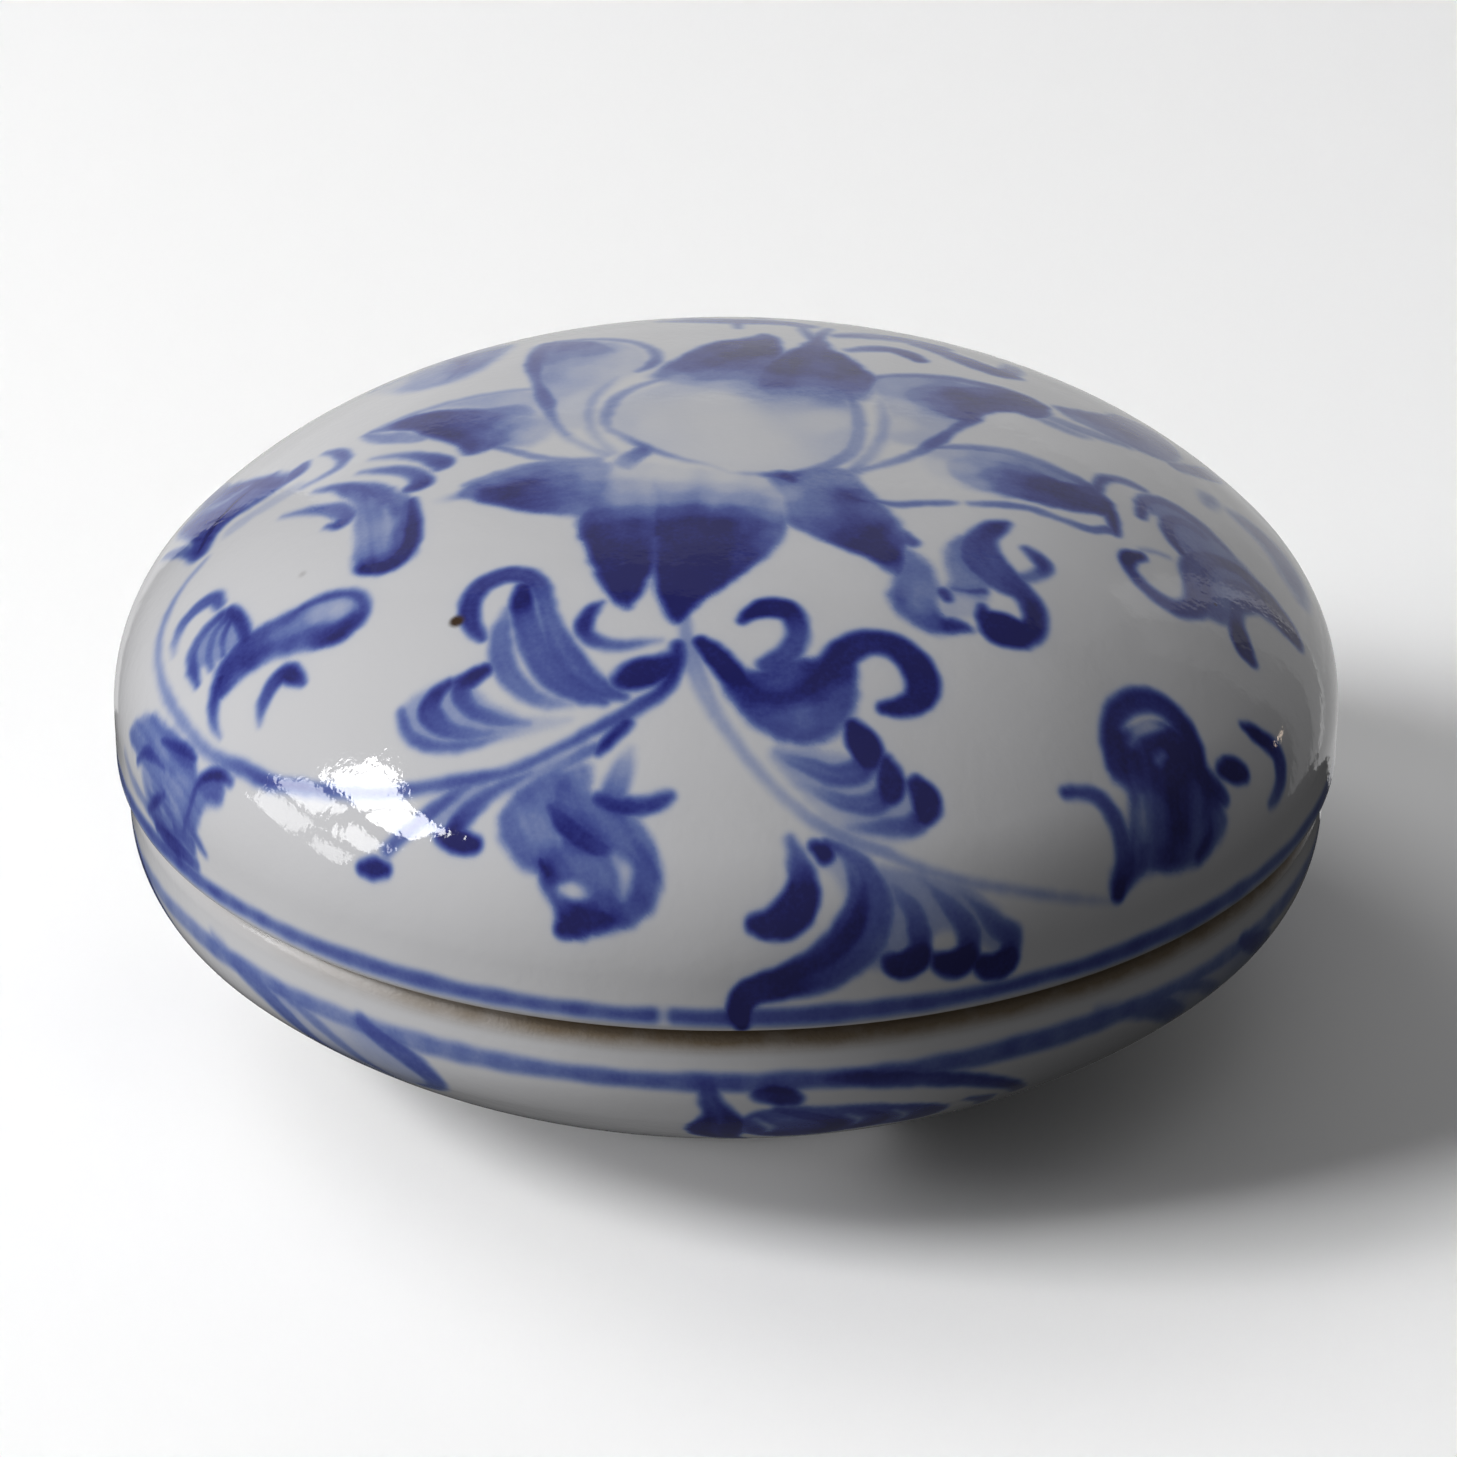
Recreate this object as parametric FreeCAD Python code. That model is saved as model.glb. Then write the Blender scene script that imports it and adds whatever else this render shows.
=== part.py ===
"""Round porcelain trinket box: a shallow bowl on a foot ring, and a domed lift-off lid.

Both pieces are thrown and turned, so each is one solid of revolution about Z. The lid's rim rests
on the base's shoulder, and an upright flange on the base keeps the lid from sliding off.

Frame: millimetres, +Z up, the origin at the centre of the foot ring's resting face.
"""
import FreeCAD, Part

import math
import os

from FreeCAD import Vector

# Overall sizes
LID_RADIUS = 50.0            # outer radius of the lid, the widest part of the box
BASE_HEIGHT = 22.2           # from the table to the joint plane
WALL = 3.6                   # thickness of the fired porcelain wall
FLOOR = 3.4                  # thickness of the base's floor

# Dome: a short upright band, then a tight shoulder arc, a wider haunch arc and a nearly flat crown.
# Each arc starts where the last one ends, on a common tangent.
LID_BAND = 4.5               # height of the upright band above the joint plane
SHOULDER_RADIUS = 13.0
SHOULDER_TURN = math.radians(43.5)
HAUNCH_RADIUS = 41.25
HAUNCH_TURN = math.radians(37.5)
LID_EDGE_ROUND = 0.8         # outer lower edge of the lid
RIM_INNER_ROUND = 0.5        # inner lower edge of the lid

# Bowl: a rounded rim, a short upright band, a tight side arc and a wide belly arc
BASE_RADIUS = 49.1
BASE_RIM_ROUND = 2.1
BASE_BAND = 4.2              # depth of the upright band's lower end below the joint plane
SIDE_RADIUS = 7.7
SIDE_TURN = math.radians(45)
BELLY_RADIUS = 39.0

# Locating flange, and the play that lets a hand-made lid drop over it
FLANGE_PLAY = 0.6
FLANGE_THICKNESS = 2.0
FLANGE_HEIGHT = 3.2
FLANGE_ROUND = 0.8

# Foot ring
FOOT_RADIUS = 28.0
FOOT_WIDTH = 3.0
FOOT_RECESS = 1.6
FOOT_ROUND = 0.5

LID_INNER_RADIUS = LID_RADIUS - WALL
FLANGE_RADIUS = LID_INNER_RADIUS - FLANGE_PLAY


def point(r, z):
    """A point of the half section, at radius r and height z."""
    return Vector(r, 0, z)


def polar(centre, radius, angle):
    """The point of the half section at that angle from the horizontal, about a centre (r, z)."""
    return point(centre[0] + radius * math.cos(angle), centre[1] + radius * math.sin(angle))


def arc(centre, radius, start, end):
    """An arc of the half section, between two angles about a centre (r, z)."""
    middle = (start + end) / 2
    ends = [polar(centre, radius, a) for a in (start, middle, end)]
    return Part.Arc(*ends).toShape()


def line(a, b):
    return Part.LineSegment(a, b).toShape()


def joined(stretches):
    """The stretches in order, with a straight edge across each gap, and one that closes the loop."""
    edges = []
    for i, edge in enumerate(stretches):
        edges.append(edge)
        end = edge.valueAt(edge.LastParameter)
        following = stretches[(i + 1) % len(stretches)]
        start = following.valueAt(following.FirstParameter)
        if end.distanceToPoint(start) > 1e-6:
            edges.append(line(end, start))
    return edges


def turned(stretches, lift):
    """The solid that the half section sweeps about Z, raised by lift."""
    face = Part.Face(Part.Wire(Part.__sortEdges__(joined(stretches))))
    solid = face.revolve(Vector(0, 0, 0), Vector(0, 0, 1), 360)
    solid.translate(Vector(0, 0, lift))
    return Part.Solid(solid.Shells[0])


def stepped(centre, shift, angle):
    """A centre moved back along the normal at that angle, which keeps the next arc tangent."""
    return (centre[0] - shift * math.cos(angle), centre[1] - shift * math.sin(angle))


def dome_arcs():
    """Centre, radius and end angles of the dome's arcs, from the band up to the axis.

    The crown's radius is the one whose centre lies on the axis, so the dome is level at its top.
    """
    haunch_start = SHOULDER_TURN
    crown_start = SHOULDER_TURN + HAUNCH_TURN
    shoulder = (LID_RADIUS - SHOULDER_RADIUS, LID_BAND)
    haunch = stepped(shoulder, HAUNCH_RADIUS - SHOULDER_RADIUS, haunch_start)
    crown_radius = HAUNCH_RADIUS + haunch[0] / math.cos(crown_start)
    crown = stepped(haunch, crown_radius - HAUNCH_RADIUS, crown_start)
    return [
        (shoulder, SHOULDER_RADIUS, 0, haunch_start),
        (haunch, HAUNCH_RADIUS, haunch_start, crown_start),
        (crown, crown_radius, crown_start, math.pi / 2),
    ]


def make_lid():
    """Domed lid of even wall, open below, drawn with the joint plane at z = 0."""
    quarter = math.pi / 2
    dome = dome_arcs()
    edge_centre = (LID_RADIUS - LID_EDGE_ROUND, LID_EDGE_ROUND)
    inner_centre = (LID_INNER_RADIUS + RIM_INNER_ROUND, RIM_INNER_ROUND)
    outside = [arc(centre, radius, end, start) for centre, radius, start, end in reversed(dome)]
    inside = [arc(centre, radius - WALL, start, end) for centre, radius, start, end in dome]
    edges = [
        arc(edge_centre, LID_EDGE_ROUND, 0, -quarter),
        arc(inner_centre, RIM_INNER_ROUND, -quarter, -math.pi),
    ]
    return turned(outside + edges + inside, BASE_HEIGHT)


def make_base():
    """Bowl with its locating flange and foot ring, drawn with the joint plane at z = 0."""
    quarter = math.pi / 2
    rim_centre = (BASE_RADIUS - BASE_RIM_ROUND, -BASE_RIM_ROUND)
    side_centre = (BASE_RADIUS - SIDE_RADIUS, -BASE_BAND)
    belly_centre = stepped(side_centre, BELLY_RADIUS - SIDE_RADIUS, -SIDE_TURN)
    foot_angle = -math.acos((FOOT_RADIUS - belly_centre[0]) / BELLY_RADIUS)

    foot_bottom = -BASE_HEIGHT
    foot_outer = (FOOT_RADIUS - FOOT_ROUND, foot_bottom + FOOT_ROUND)
    foot_inner = (FOOT_RADIUS - FOOT_WIDTH + FOOT_ROUND, foot_bottom + FOOT_ROUND)
    roof = foot_bottom + FOOT_RECESS
    floor = roof + FLOOR

    flange_inner = FLANGE_RADIUS - FLANGE_THICKNESS
    flange_outer_round = (FLANGE_RADIUS - FLANGE_ROUND, FLANGE_HEIGHT - FLANGE_ROUND)
    flange_inner_round = (flange_inner + FLANGE_ROUND, FLANGE_HEIGHT - FLANGE_ROUND)

    bowl_radius = belly_centre[1] - floor
    bowl_side = math.acos((flange_inner - belly_centre[0]) / bowl_radius)
    return turned([
        line(point(FLANGE_RADIUS, 0), point(rim_centre[0], 0)),
        arc(rim_centre, BASE_RIM_ROUND, quarter, 0),
        arc(side_centre, SIDE_RADIUS, 0, -SIDE_TURN),
        arc(belly_centre, BELLY_RADIUS, -SIDE_TURN, foot_angle),
        arc(foot_outer, FOOT_ROUND, 0, -quarter),
        arc(foot_inner, FOOT_ROUND, -quarter, -math.pi),
        line(point(FOOT_RADIUS - FOOT_WIDTH, roof), point(0, roof)),
        line(point(0, floor), point(belly_centre[0], floor)),
        arc(belly_centre, bowl_radius, -quarter, -bowl_side),
        arc(flange_inner_round, FLANGE_ROUND, math.pi, quarter),
        arc(flange_outer_round, FLANGE_ROUND, quarter, 0),
    ], BASE_HEIGHT)


def main():
    os.makedirs("parts", exist_ok=True)
    for name, solid in (("base", make_base()), ("lid", make_lid())):
        if not solid.isValid():
            raise ValueError(f"{name} isn't a valid solid")
        solid.exportStep(f"parts/{name}.step")
        print(f"{name}: {solid.Volume / 1000:.1f} cm3")


main()
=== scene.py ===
"""Looks of the round porcelain trinket box: white glaze, and cobalt brushwork painted under it.

The painting is laid out on two flat maps, in millimetres of glaze surface. On the lid's map the crown
is the origin, +x is the box's +X and -y is its front. On the base's map x runs round the wall from the
front towards +X, and y runs down the wall from the joint. A dab is (x, y, width, tone): a stroke is
drawn through its dabs, and a wash fills an outline with the tones of the places inside it. Tone 0 is
bare glaze and tone 1 is the darkest blue.
"""
import math

import bpy
import numpy as np
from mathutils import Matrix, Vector


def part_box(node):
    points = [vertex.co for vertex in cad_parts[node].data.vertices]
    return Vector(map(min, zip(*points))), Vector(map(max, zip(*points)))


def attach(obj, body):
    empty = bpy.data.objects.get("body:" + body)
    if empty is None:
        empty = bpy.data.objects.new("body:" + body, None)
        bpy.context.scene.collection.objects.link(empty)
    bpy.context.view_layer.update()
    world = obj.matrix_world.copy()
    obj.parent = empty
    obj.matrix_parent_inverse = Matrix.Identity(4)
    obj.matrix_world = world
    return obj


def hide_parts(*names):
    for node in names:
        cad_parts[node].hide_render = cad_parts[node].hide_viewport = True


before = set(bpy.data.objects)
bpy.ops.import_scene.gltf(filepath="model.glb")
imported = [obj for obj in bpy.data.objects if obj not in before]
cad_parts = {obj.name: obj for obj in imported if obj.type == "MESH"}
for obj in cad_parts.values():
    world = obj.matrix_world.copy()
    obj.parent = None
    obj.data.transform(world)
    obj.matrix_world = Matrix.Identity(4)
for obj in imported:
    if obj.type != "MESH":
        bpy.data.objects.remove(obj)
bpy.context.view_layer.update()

MM = 0.001

# Painting tools ------------------------------------------------------------------------------------
MAP_STEP = 0.1               # mm between the places where a map holds its tones
STROKE_STEP = 1.5 * MAP_STEP
LIFT_STEP = 2 * MAP_STEP
OUTLINE_STEP = 3 * MAP_STEP
EDGE = 0.54                  # half the width over which a brush line fades into the glaze
WASH_EDGE = 0.68             # the same for the outline of a wash
MARGIN = 3                   # edges outside a shape, past which it leaves no colour
THINNEST = 0.1               # mm, half the width of the finest line
BLEND = 0.9                  # mm over which a wash runs from one of its tones to the next
WANDER = 0.09                # mm that a stroke's edge strays from its drawn line
WANDER_CELL = 0.9            # mm between one stray and the next
WASH_WANDER = 1.5            # how many times as far a wash's edge strays
HAIR = 0.5                   # mm between the marks of a brush's hairs
HAIR_MARKS = 4096            # marks before they start again
HAIR_JUMP = 37               # marks from the start of one stroke to the start of the next
POOL_DEPTH = 1.4             # edges from the outline to where the colour pools
POOL_WIDTH = 1.3             # edges that the pool is wide
OVERLAP = 0.22               # how much two layers darken each other
BLEED = 0.08                 # how much cobalt strays into the glaze about 1 mm round it
BLEED_REACH = 7              # places to each side that the cobalt spreads over in a pass
BLEED_PASSES = 3
MAP_RIM = 16                 # places at the rim of a map where the spread isn't to be trusted


def ease(x):
    """From 0 to 1 as x does, with a soft start and end."""
    x = np.clip(x, 0, 1)
    return x * x * (3 - 2 * x)


def covered(depth, edge):
    """How much of the glaze a shape covers, at depths in from its outline."""
    return ease(depth / (2 * edge) + 0.5)


def pooled(depth, edge):
    """How far the colour gathers along the inside of an outline, from 0 to 1."""
    return np.exp(-((depth - POOL_DEPTH * edge) / (POOL_WIDTH * edge)) ** 2)


def cloud(rows, columns, cell, seed):
    """Smooth random field between -1 and 1, whose lumps are about cell places wide."""
    grid = np.random.default_rng(seed).random((int(rows / cell) + 3, int(columns / cell) + 3)) * 2 - 1

    def along(count):
        at = np.arange(count) / cell
        whole = at.astype(int)
        part = at - whole
        return whole, part * part * (3 - 2 * part)

    row, down = along(rows)
    column, across = along(columns)
    low = grid[row][:, column] * (1 - across) + grid[row][:, column + 1] * across
    high = grid[row + 1][:, column] * (1 - across) + grid[row + 1][:, column + 1] * across
    return low * (1 - down[:, None]) + high * down[:, None]


def through(knots, spacing, closed=False):
    """Rows close together on a smooth curve through the knots."""
    knots = np.array(knots, float)
    if closed:
        knots = np.vstack([knots[-1], knots, knots[:2]])
    else:
        knots = np.vstack([2 * knots[0] - knots[1], knots, 2 * knots[-1] - knots[-2]])
    chord = np.hypot(*(knots[1:, :2] - knots[:-1, :2]).T)
    pace = np.sqrt(np.maximum(chord, 1e-4))[:, None]
    slope = (knots[1:] - knots[:-1]) / pace
    tangent = (slope[:-1] * pace[1:] + slope[1:] * pace[:-1]) / (pace[1:] + pace[:-1])
    rows = []
    for i in range(1, len(knots) - 2):
        t = np.linspace(0, 1, max(2, int(chord[i] / spacing) + 1), endpoint=False)[:, None]
        a, b = knots[i], knots[i + 1]
        ta, tb = tangent[i - 1] * pace[i], tangent[i] * pace[i]
        rows.append(a + t * ta + t * t * (3 * (b - a) - 2 * ta - tb) + t ** 3 * (2 * (a - b) + ta + tb))
    return np.vstack(rows + [knots[-2][None]])


class PaintMap:
    """Cobalt on a flat map of glaze, from one corner to the other, in mm."""

    def __init__(self, low, high, seed):
        self.low = np.array(low, float)
        self.columns, self.rows = ((np.array(high) - self.low) / MAP_STEP).astype(int) + 1
        self.tone = np.zeros((self.rows, self.columns))
        self.stray = WANDER * cloud(self.rows, self.columns, WANDER_CELL / MAP_STEP, seed)
        self.grain = np.random.default_rng(seed + 1).random(HAIR_MARKS) * 2 - 1
        self.strokes = 0
        self.place()

    def place(self, turn=0.0, shift=0.0, fade=1.0):
        """What follows is turned about the origin in degrees, shifted across, and its tones scaled."""
        self.turn, self.shift, self.fade = math.radians(turn), shift, fade

    def placed(self, dabs):
        dabs = np.array(dabs, float)
        x, y = dabs[:, 0].copy(), dabs[:, 1].copy()
        dabs[:, 0] = x * math.cos(self.turn) - y * math.sin(self.turn) + self.shift
        dabs[:, 1] = x * math.sin(self.turn) + y * math.cos(self.turn)
        return dabs

    def window(self, points, margin):
        """The part of the map within margin of the points, and the x and y of its places."""
        first = np.floor((points.min(0) - margin - self.low) / MAP_STEP).astype(int)
        last = np.ceil((points.max(0) + margin - self.low) / MAP_STEP).astype(int) + 1
        c0, r0 = np.maximum(first, 0)
        c1, r1 = np.minimum(last, [self.columns, self.rows])
        part = (slice(r0, max(r1, r0)), slice(c0, max(c1, c0)))
        x = self.low[0] + np.arange(c0, max(c1, c0)) * MAP_STEP
        y = self.low[1] + np.arange(r0, max(r1, r0)) * MAP_STEP
        return part, *np.meshgrid(x, y)

    def lay(self, part, tone, cover):
        """Adds a layer: where two layers meet, the darker one shows and the other deepens it a little."""
        new = tone * cover * self.fade
        old = self.tone[part]
        dark, pale = np.maximum(new, old), np.minimum(new, old)
        self.tone[part] = np.minimum(dark + OVERLAP * pale * (1 - dark), 1)

    def bristles(self, across):
        """Marks between -1 and 1 that the brush's hairs leave, at distances across its way."""
        self.strokes += 1
        hair = (across / HAIR + HAIR_JUMP * self.strokes) % (HAIR_MARKS - 2)
        whole = hair.astype(int)
        return self.grain[whole] * (1 - hair % 1) + self.grain[whole + 1] * (hair % 1)

    def stroke(self, *dabs, edge=EDGE, rim=0.1, streak=0.09):
        """A brush stroke through the dabs. rim darkens its edges, streak draws the bristles' marks."""
        line = through(self.placed(dabs), STROKE_STEP)
        half = np.maximum(line[:, 2] / 2, THINNEST)
        part, x, y = self.window(line[:, :2], half.max() + MARGIN * edge)
        if not x.size:
            return
        inside, side, shade = (np.empty(x.shape) for _ in range(3))
        ahead = np.gradient(line[:, :2], axis=0)
        ahead /= np.hypot(*ahead.T)[:, None] + 1e-9
        for i in range(len(x)):
            dx, dy = x[i][:, None] - line[:, 0], y[i][:, None] - line[:, 1]
            reach = np.hypot(dx, dy) - half
            best = reach.argmin(1)
            row = np.arange(x.shape[1])
            inside[i] = -reach[row, best]
            side[i] = dx[row, best] * ahead[best, 1] - dy[row, best] * ahead[best, 0]
            shade[i] = line[best, 3]
        marks = self.bristles(side)
        depth = inside + self.stray[part]
        shade = shade * (1 + rim * pooled(depth, edge) + streak * marks)
        self.lay(part, shade, covered(depth, edge))

    def filled(self, outline, edge):
        """The window that holds the outline, the x and y of its places, and their depths inside it."""
        ring = through(self.placed(outline), OUTLINE_STEP, closed=True)
        part, x, y = self.window(ring, MARGIN * edge)
        inner = np.zeros(x.shape, bool)
        far = np.full(x.shape, np.inf)
        for (ax, ay), (bx, by) in zip(ring, np.roll(ring, -1, 0)):
            far = np.minimum(far, np.hypot(x - ax, y - ay))
            if ay != by:
                crossing = ax + (y - ay) * (bx - ax) / (by - ay)
                inner ^= ((ay > y) != (by > y)) & (x < crossing)
        depth = np.where(inner, far, -far) + WASH_WANDER * self.stray[part]
        return part, x, y, depth

    def wash(self, outline, *places, edge=WASH_EDGE, rim=0.0, brush=None, streak=0.05):
        """A filled shape whose tone runs smoothly between the given places (x, y, tone).

        One bare number is a tone for all of it. brush is the direction of its brush marks, in degrees
        from +x."""
        if np.isscalar(places[0]):
            places = [(*np.mean(outline, 0), places[0])]
        part, x, y, depth = self.filled(outline, edge)
        if not x.size:
            return
        total, weight = np.zeros(x.shape), np.zeros(x.shape)
        for px, py, tone in self.placed(places):
            near = ((x - px) ** 2 + (y - py) ** 2 + BLEND ** 2) ** -2
            total += near * tone
            weight += near
        shade = total / weight * (1 + rim * pooled(depth, edge))
        if brush is not None:
            angle = math.radians(brush) + self.turn
            shade = shade * (1 + streak * self.bristles(y * math.cos(angle) - x * math.sin(angle)))
        self.lay(part, shade, covered(depth, edge))

    def lift(self, *dabs, edge=EDGE):
        """Wipes the wet colour back to each dab's tone, which leaves a pale eye in a shape."""
        line = through(self.placed(dabs), LIFT_STEP)
        half = line[:, 2] / 2
        part, x, y = self.window(line[:, :2], half.max() + MARGIN * edge)
        if not x.size:
            return
        reach = np.full(x.shape, np.inf)
        shade = np.zeros(x.shape)
        for (px, py, _, tone), r in zip(line, half):
            at = np.hypot(x - px, y - py) - r
            shade = np.where(at < reach, tone, shade)
            reach = np.minimum(reach, at)
        cover = covered(self.stray[part] - reach, edge)
        self.tone[part] = self.tone[part] * (1 - cover) + np.minimum(shade, self.tone[part]) * cover

    def fire(self):
        """Melts a little of the cobalt into the glaze round it."""
        spread = self.tone
        for _ in range(BLEED_PASSES):
            for axis in (0, 1):
                total = np.cumsum(spread, axis)
                ahead, behind = np.roll(total, -BLEED_REACH, axis), np.roll(total, BLEED_REACH + 1, axis)
                spread = (ahead - behind) / (2 * BLEED_REACH + 1)
        for rim in (slice(MAP_RIM), slice(-MAP_RIM, None)):
            spread[rim] = 0
            spread[:, rim] = 0
        self.tone = np.minimum(self.tone + BLEED * spread, 1)

    def read(self, x, y):
        """The tone at any points of the map, between its places."""
        at_x = np.clip((x - self.low[0]) / MAP_STEP, 0, self.columns - 1.001)
        at_y = np.clip((y - self.low[1]) / MAP_STEP, 0, self.rows - 1.001)
        column, row = at_x.astype(int), at_y.astype(int)
        u, v = at_x - column, at_y - row
        tone = self.tone
        low = tone[row, column] * (1 - u) + tone[row, column + 1] * u
        high = tone[row + 1, column] * (1 - u) + tone[row + 1, column + 1] * u
        return low * (1 - v) + high * v


# The lid's painting --------------------------------------------------------------------------------
def flower_disc(m):
    """The pale middle of the flower, with the lines round it."""
    m.wash([(-9.4, 1), (-8, 6), (-3, 9.4), (3, 10), (8.5, 8), (10.3, 3), (10.3, -3), (7.6, -7.4),
            (2.6, -9.2), (-3, -6.8), (-7.4, -3.6)],
           (-8, 0, 0.1), (-6, 0, 0.04), (2, -4, 0.02), (-1, 4, 0.03), (5, 5, 0.16), (8.6, 6.6, 0.3),
           (3, 8.6, 0.26), (-3, 8.4, 0.12), (8, 0, 0.05), (9.6, -2, 0.12), (0, 0, 0.02), edge=0.8)
    m.stroke((-5.2, 9.6, 0.8, 0.26), (-7.6, 7.6, 1.1, 0.26), (-9, 5.2, 1.3, 0.28), (-9.6, 2.4, 1.2, 0.28),
             (-9.4, -0.5, 1, 0.2), (-8.2, -2.2, 1, 0.22), (-6.6, -4.2, 1.1, 0.38), (-5.2, -5.5, 0.8, 0.3),
             (-3.4, -6.8, 0.7, 0.24), (-1.8, -7.6, 0.6, 0.14), (0.2, -9, 0.5, 0.06), edge=0.5)
    m.stroke((0.2, -9.2, 0.5, 0.08), (2.7, -9.4, 0.8, 0.3), (4.7, -9.6, 1.1, 0.55), (6.5, -8.7, 1.1, 0.36),
             (8.6, -6.9, 1.4, 0.3), (9.9, -5, 1.5, 0.28), (10.5, -2.4, 1.4, 0.24), (10.7, 1, 1.2, 0.26),
             (10.4, 4.4, 1.1, 0.3), (9.9, 7.6, 1.2, 0.45), edge=0.5)
    m.stroke((12.6, 6, 1, 0.12), (12.8, 1.5, 1.1, 0.2), (12.6, -1, 1.1, 0.21), (11.9, -3.8, 1.2, 0.19),
             (10.9, -6.6, 1.3, 0.2), (10.2, -8.2, 1.4, 0.24), edge=0.55)
    m.stroke((-8.9, 10.6, 0.9, 0.14), (-10.2, 7.8, 1, 0.2), (-11, 4.2, 1, 0.21), (-11, 0.8, 1, 0.18),
             (-10.2, -2.5, 1, 0.13), (-9, -5.2, 0.9, 0.14), edge=0.55)


def petal_shades(m):
    """The thin blue that the petals' colour fades into, round the disc."""
    m.wash([(-24, 7.8), (-20, 9), (-16, 9), (-14.6, 6), (-13.6, 1), (-15.4, -2.6), (-19, -2), (-18, 2),
            (-20, 6)],
           (-20, 7.6, 0.22), (-17, 6.6, 0.16), (-17, 3, 0.24), (-16, 0, 0.14), (-15, 4, 0.08),
           (-18, 1, 0.34), (-18.6, -1, 0.3), edge=0.9)
    m.wash([(-13, 21.5), (-8, 19.4), (-6.4, 16), (-6.8, 12), (-8.6, 9.6), (-10.4, 6), (-11.4, 0),
            (-13.4, 0), (-14.8, 6), (-15.6, 12)],
           (-11, 18, 0.24), (-8, 16, 0.12), (-9, 12, 0.1), (-12, 12, 0.16), (-13.6, 8, 0.18),
           (-11.6, 6, 0.09), (-12.4, 2, 0.08), (-14.6, 12, 0.3), edge=0.9)
    m.wash([(-6, 9.4), (-5.6, 12), (0, 15), (4, 15), (11.6, 12), (11.6, 6), (9, 4.4), (4, 3.6), (0, 6)],
           (-4, 10, 0.2), (0, 10.5, 0.4), (2.6, 12, 0.5), (4, 8, 0.46), (6, 6.6, 0.3), (9, 8, 0.42),
           (10.6, 6, 0.32), (3, 6, 0.2), (6, 4.6, 0.12), (0, 7.6, 0.14), edge=1.2)
    m.wash([(11.6, 11), (14, 12.2), (19, 12.4), (22, 10), (20, 4), (17.6, 0), (15.4, -3), (13, -2), (13, 4),
            (12, 8)],
           (13, 9.6, 0.24), (15, 10.6, 0.26), (15.4, 7.6, 0.26), (17, 9, 0.42), (14, 5, 0.13),
           (14, 1, 0.06), (17.6, 5, 0.3), (16.6, 2, 0.16), (15.4, -1, 0.14), (19, 10.8, 0.4), edge=0.8)
    m.wash([(16.2, -3.4), (20, -2.2), (25, -3), (29, -5.4), (28, -9.4), (22, -10), (17.6, -9), (15.6, -6)],
           (18, -3.6, 0.16), (20.6, -3.6, 0.24), (24, -4.4, 0.34), (19.4, -6.4, 0.18), (17, -6.4, 0.04),
           (21.4, -7, 0.36), (20, -9, 0.14), (17.4, -8.6, 0.03), (23, -9.4, 0.4), edge=0.8)


def front_petal(m):
    """The dark petal at the front, split in two by a notch."""
    m.wash([(-11.6, -7.6), (-10.8, -12), (-11.5, -16.5), (-10.7, -20.8), (-9.5, -25), (-8.3, -27.3),
            (-7.5, -27.9), (-6.9, -27.1), (-6, -24.8), (-5, -22), (-4.6, -18), (-4, -13), (-3.8, -8.4),
            (-8, -7)],
           (-10.4, -8.6, 0.14), (-7.6, -8.4, 0.05), (-5, -9.4, 0.02), (-10.6, -11, 0.3), (-8, -11, 0.18),
           (-5.4, -11.4, 0.12), (-10.6, -13.6, 0.42), (-8, -13.2, 0.24), (-5.2, -13.4, 0.2),
           (-10, -15.4, 0.66), (-7.6, -15.2, 0.5), (-5.2, -15.4, 0.42), (-9.6, -17.6, 0.88),
           (-7.4, -17, 0.84), (-5.2, -17.6, 0.66), (-9.4, -21, 0.93), (-7, -20.6, 0.95), (-5.4, -20.4, 0.8),
           (-7.8, -25, 0.97), brush=-86)
    m.wash([(-5.8, -9.4), (-5.8, -13.4), (-6, -19), (-5.8, -23), (-5, -27.5), (-4.3, -29.3), (-3.6, -29.8),
            (-2.9, -29), (-2.3, -28.1), (-0.2, -25.8), (1.7, -23.6), (3.2, -21.5), (4.4, -19.2),
            (4.8, -17.2), (4.6, -13), (3.6, -9.8), (0, -9), (-3, -8.4)],
           (-4, -9.6, 0.02), (0, -10, 0.02), (3, -10.6, 0.06), (-4, -11.6, 0.14), (0, -11.6, 0.12),
           (3.6, -12.4, 0.14), (-4.4, -13.4, 0.26), (-3, -13.2, 0.34), (-1, -13.4, 0.22), (1, -13.6, 0.28),
           (2.6, -13.8, 0.3), (4, -14.4, 0.2), (-4.6, -15.4, 0.6), (-2.6, -15, 0.74), (0.6, -15.4, 0.6),
           (3.4, -15.8, 0.36), (-4.8, -17.4, 0.88), (-2.6, -17, 0.95), (0, -17.4, 0.92), (2.4, -17.4, 0.7),
           (3.9, -18.6, 0.48), (3, -20, 0.66), (1, -19.4, 0.93), (-1, -20, 0.97), (-4.6, -21, 0.95),
           (1.4, -22.6, 0.8), (-3, -25, 1), (-4, -28, 0.97), (-1, -25.2, 0.88), (-1, -23, 0.97), brush=-96)
    m.lift((-5.5, -19, 0.2, 0.62), (-5.5, -23, 0.3, 0.56), (-5.6, -24.6, 0.5, 0.34),
           (-5.8, -26.8, 0.6, 0.1))


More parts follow.
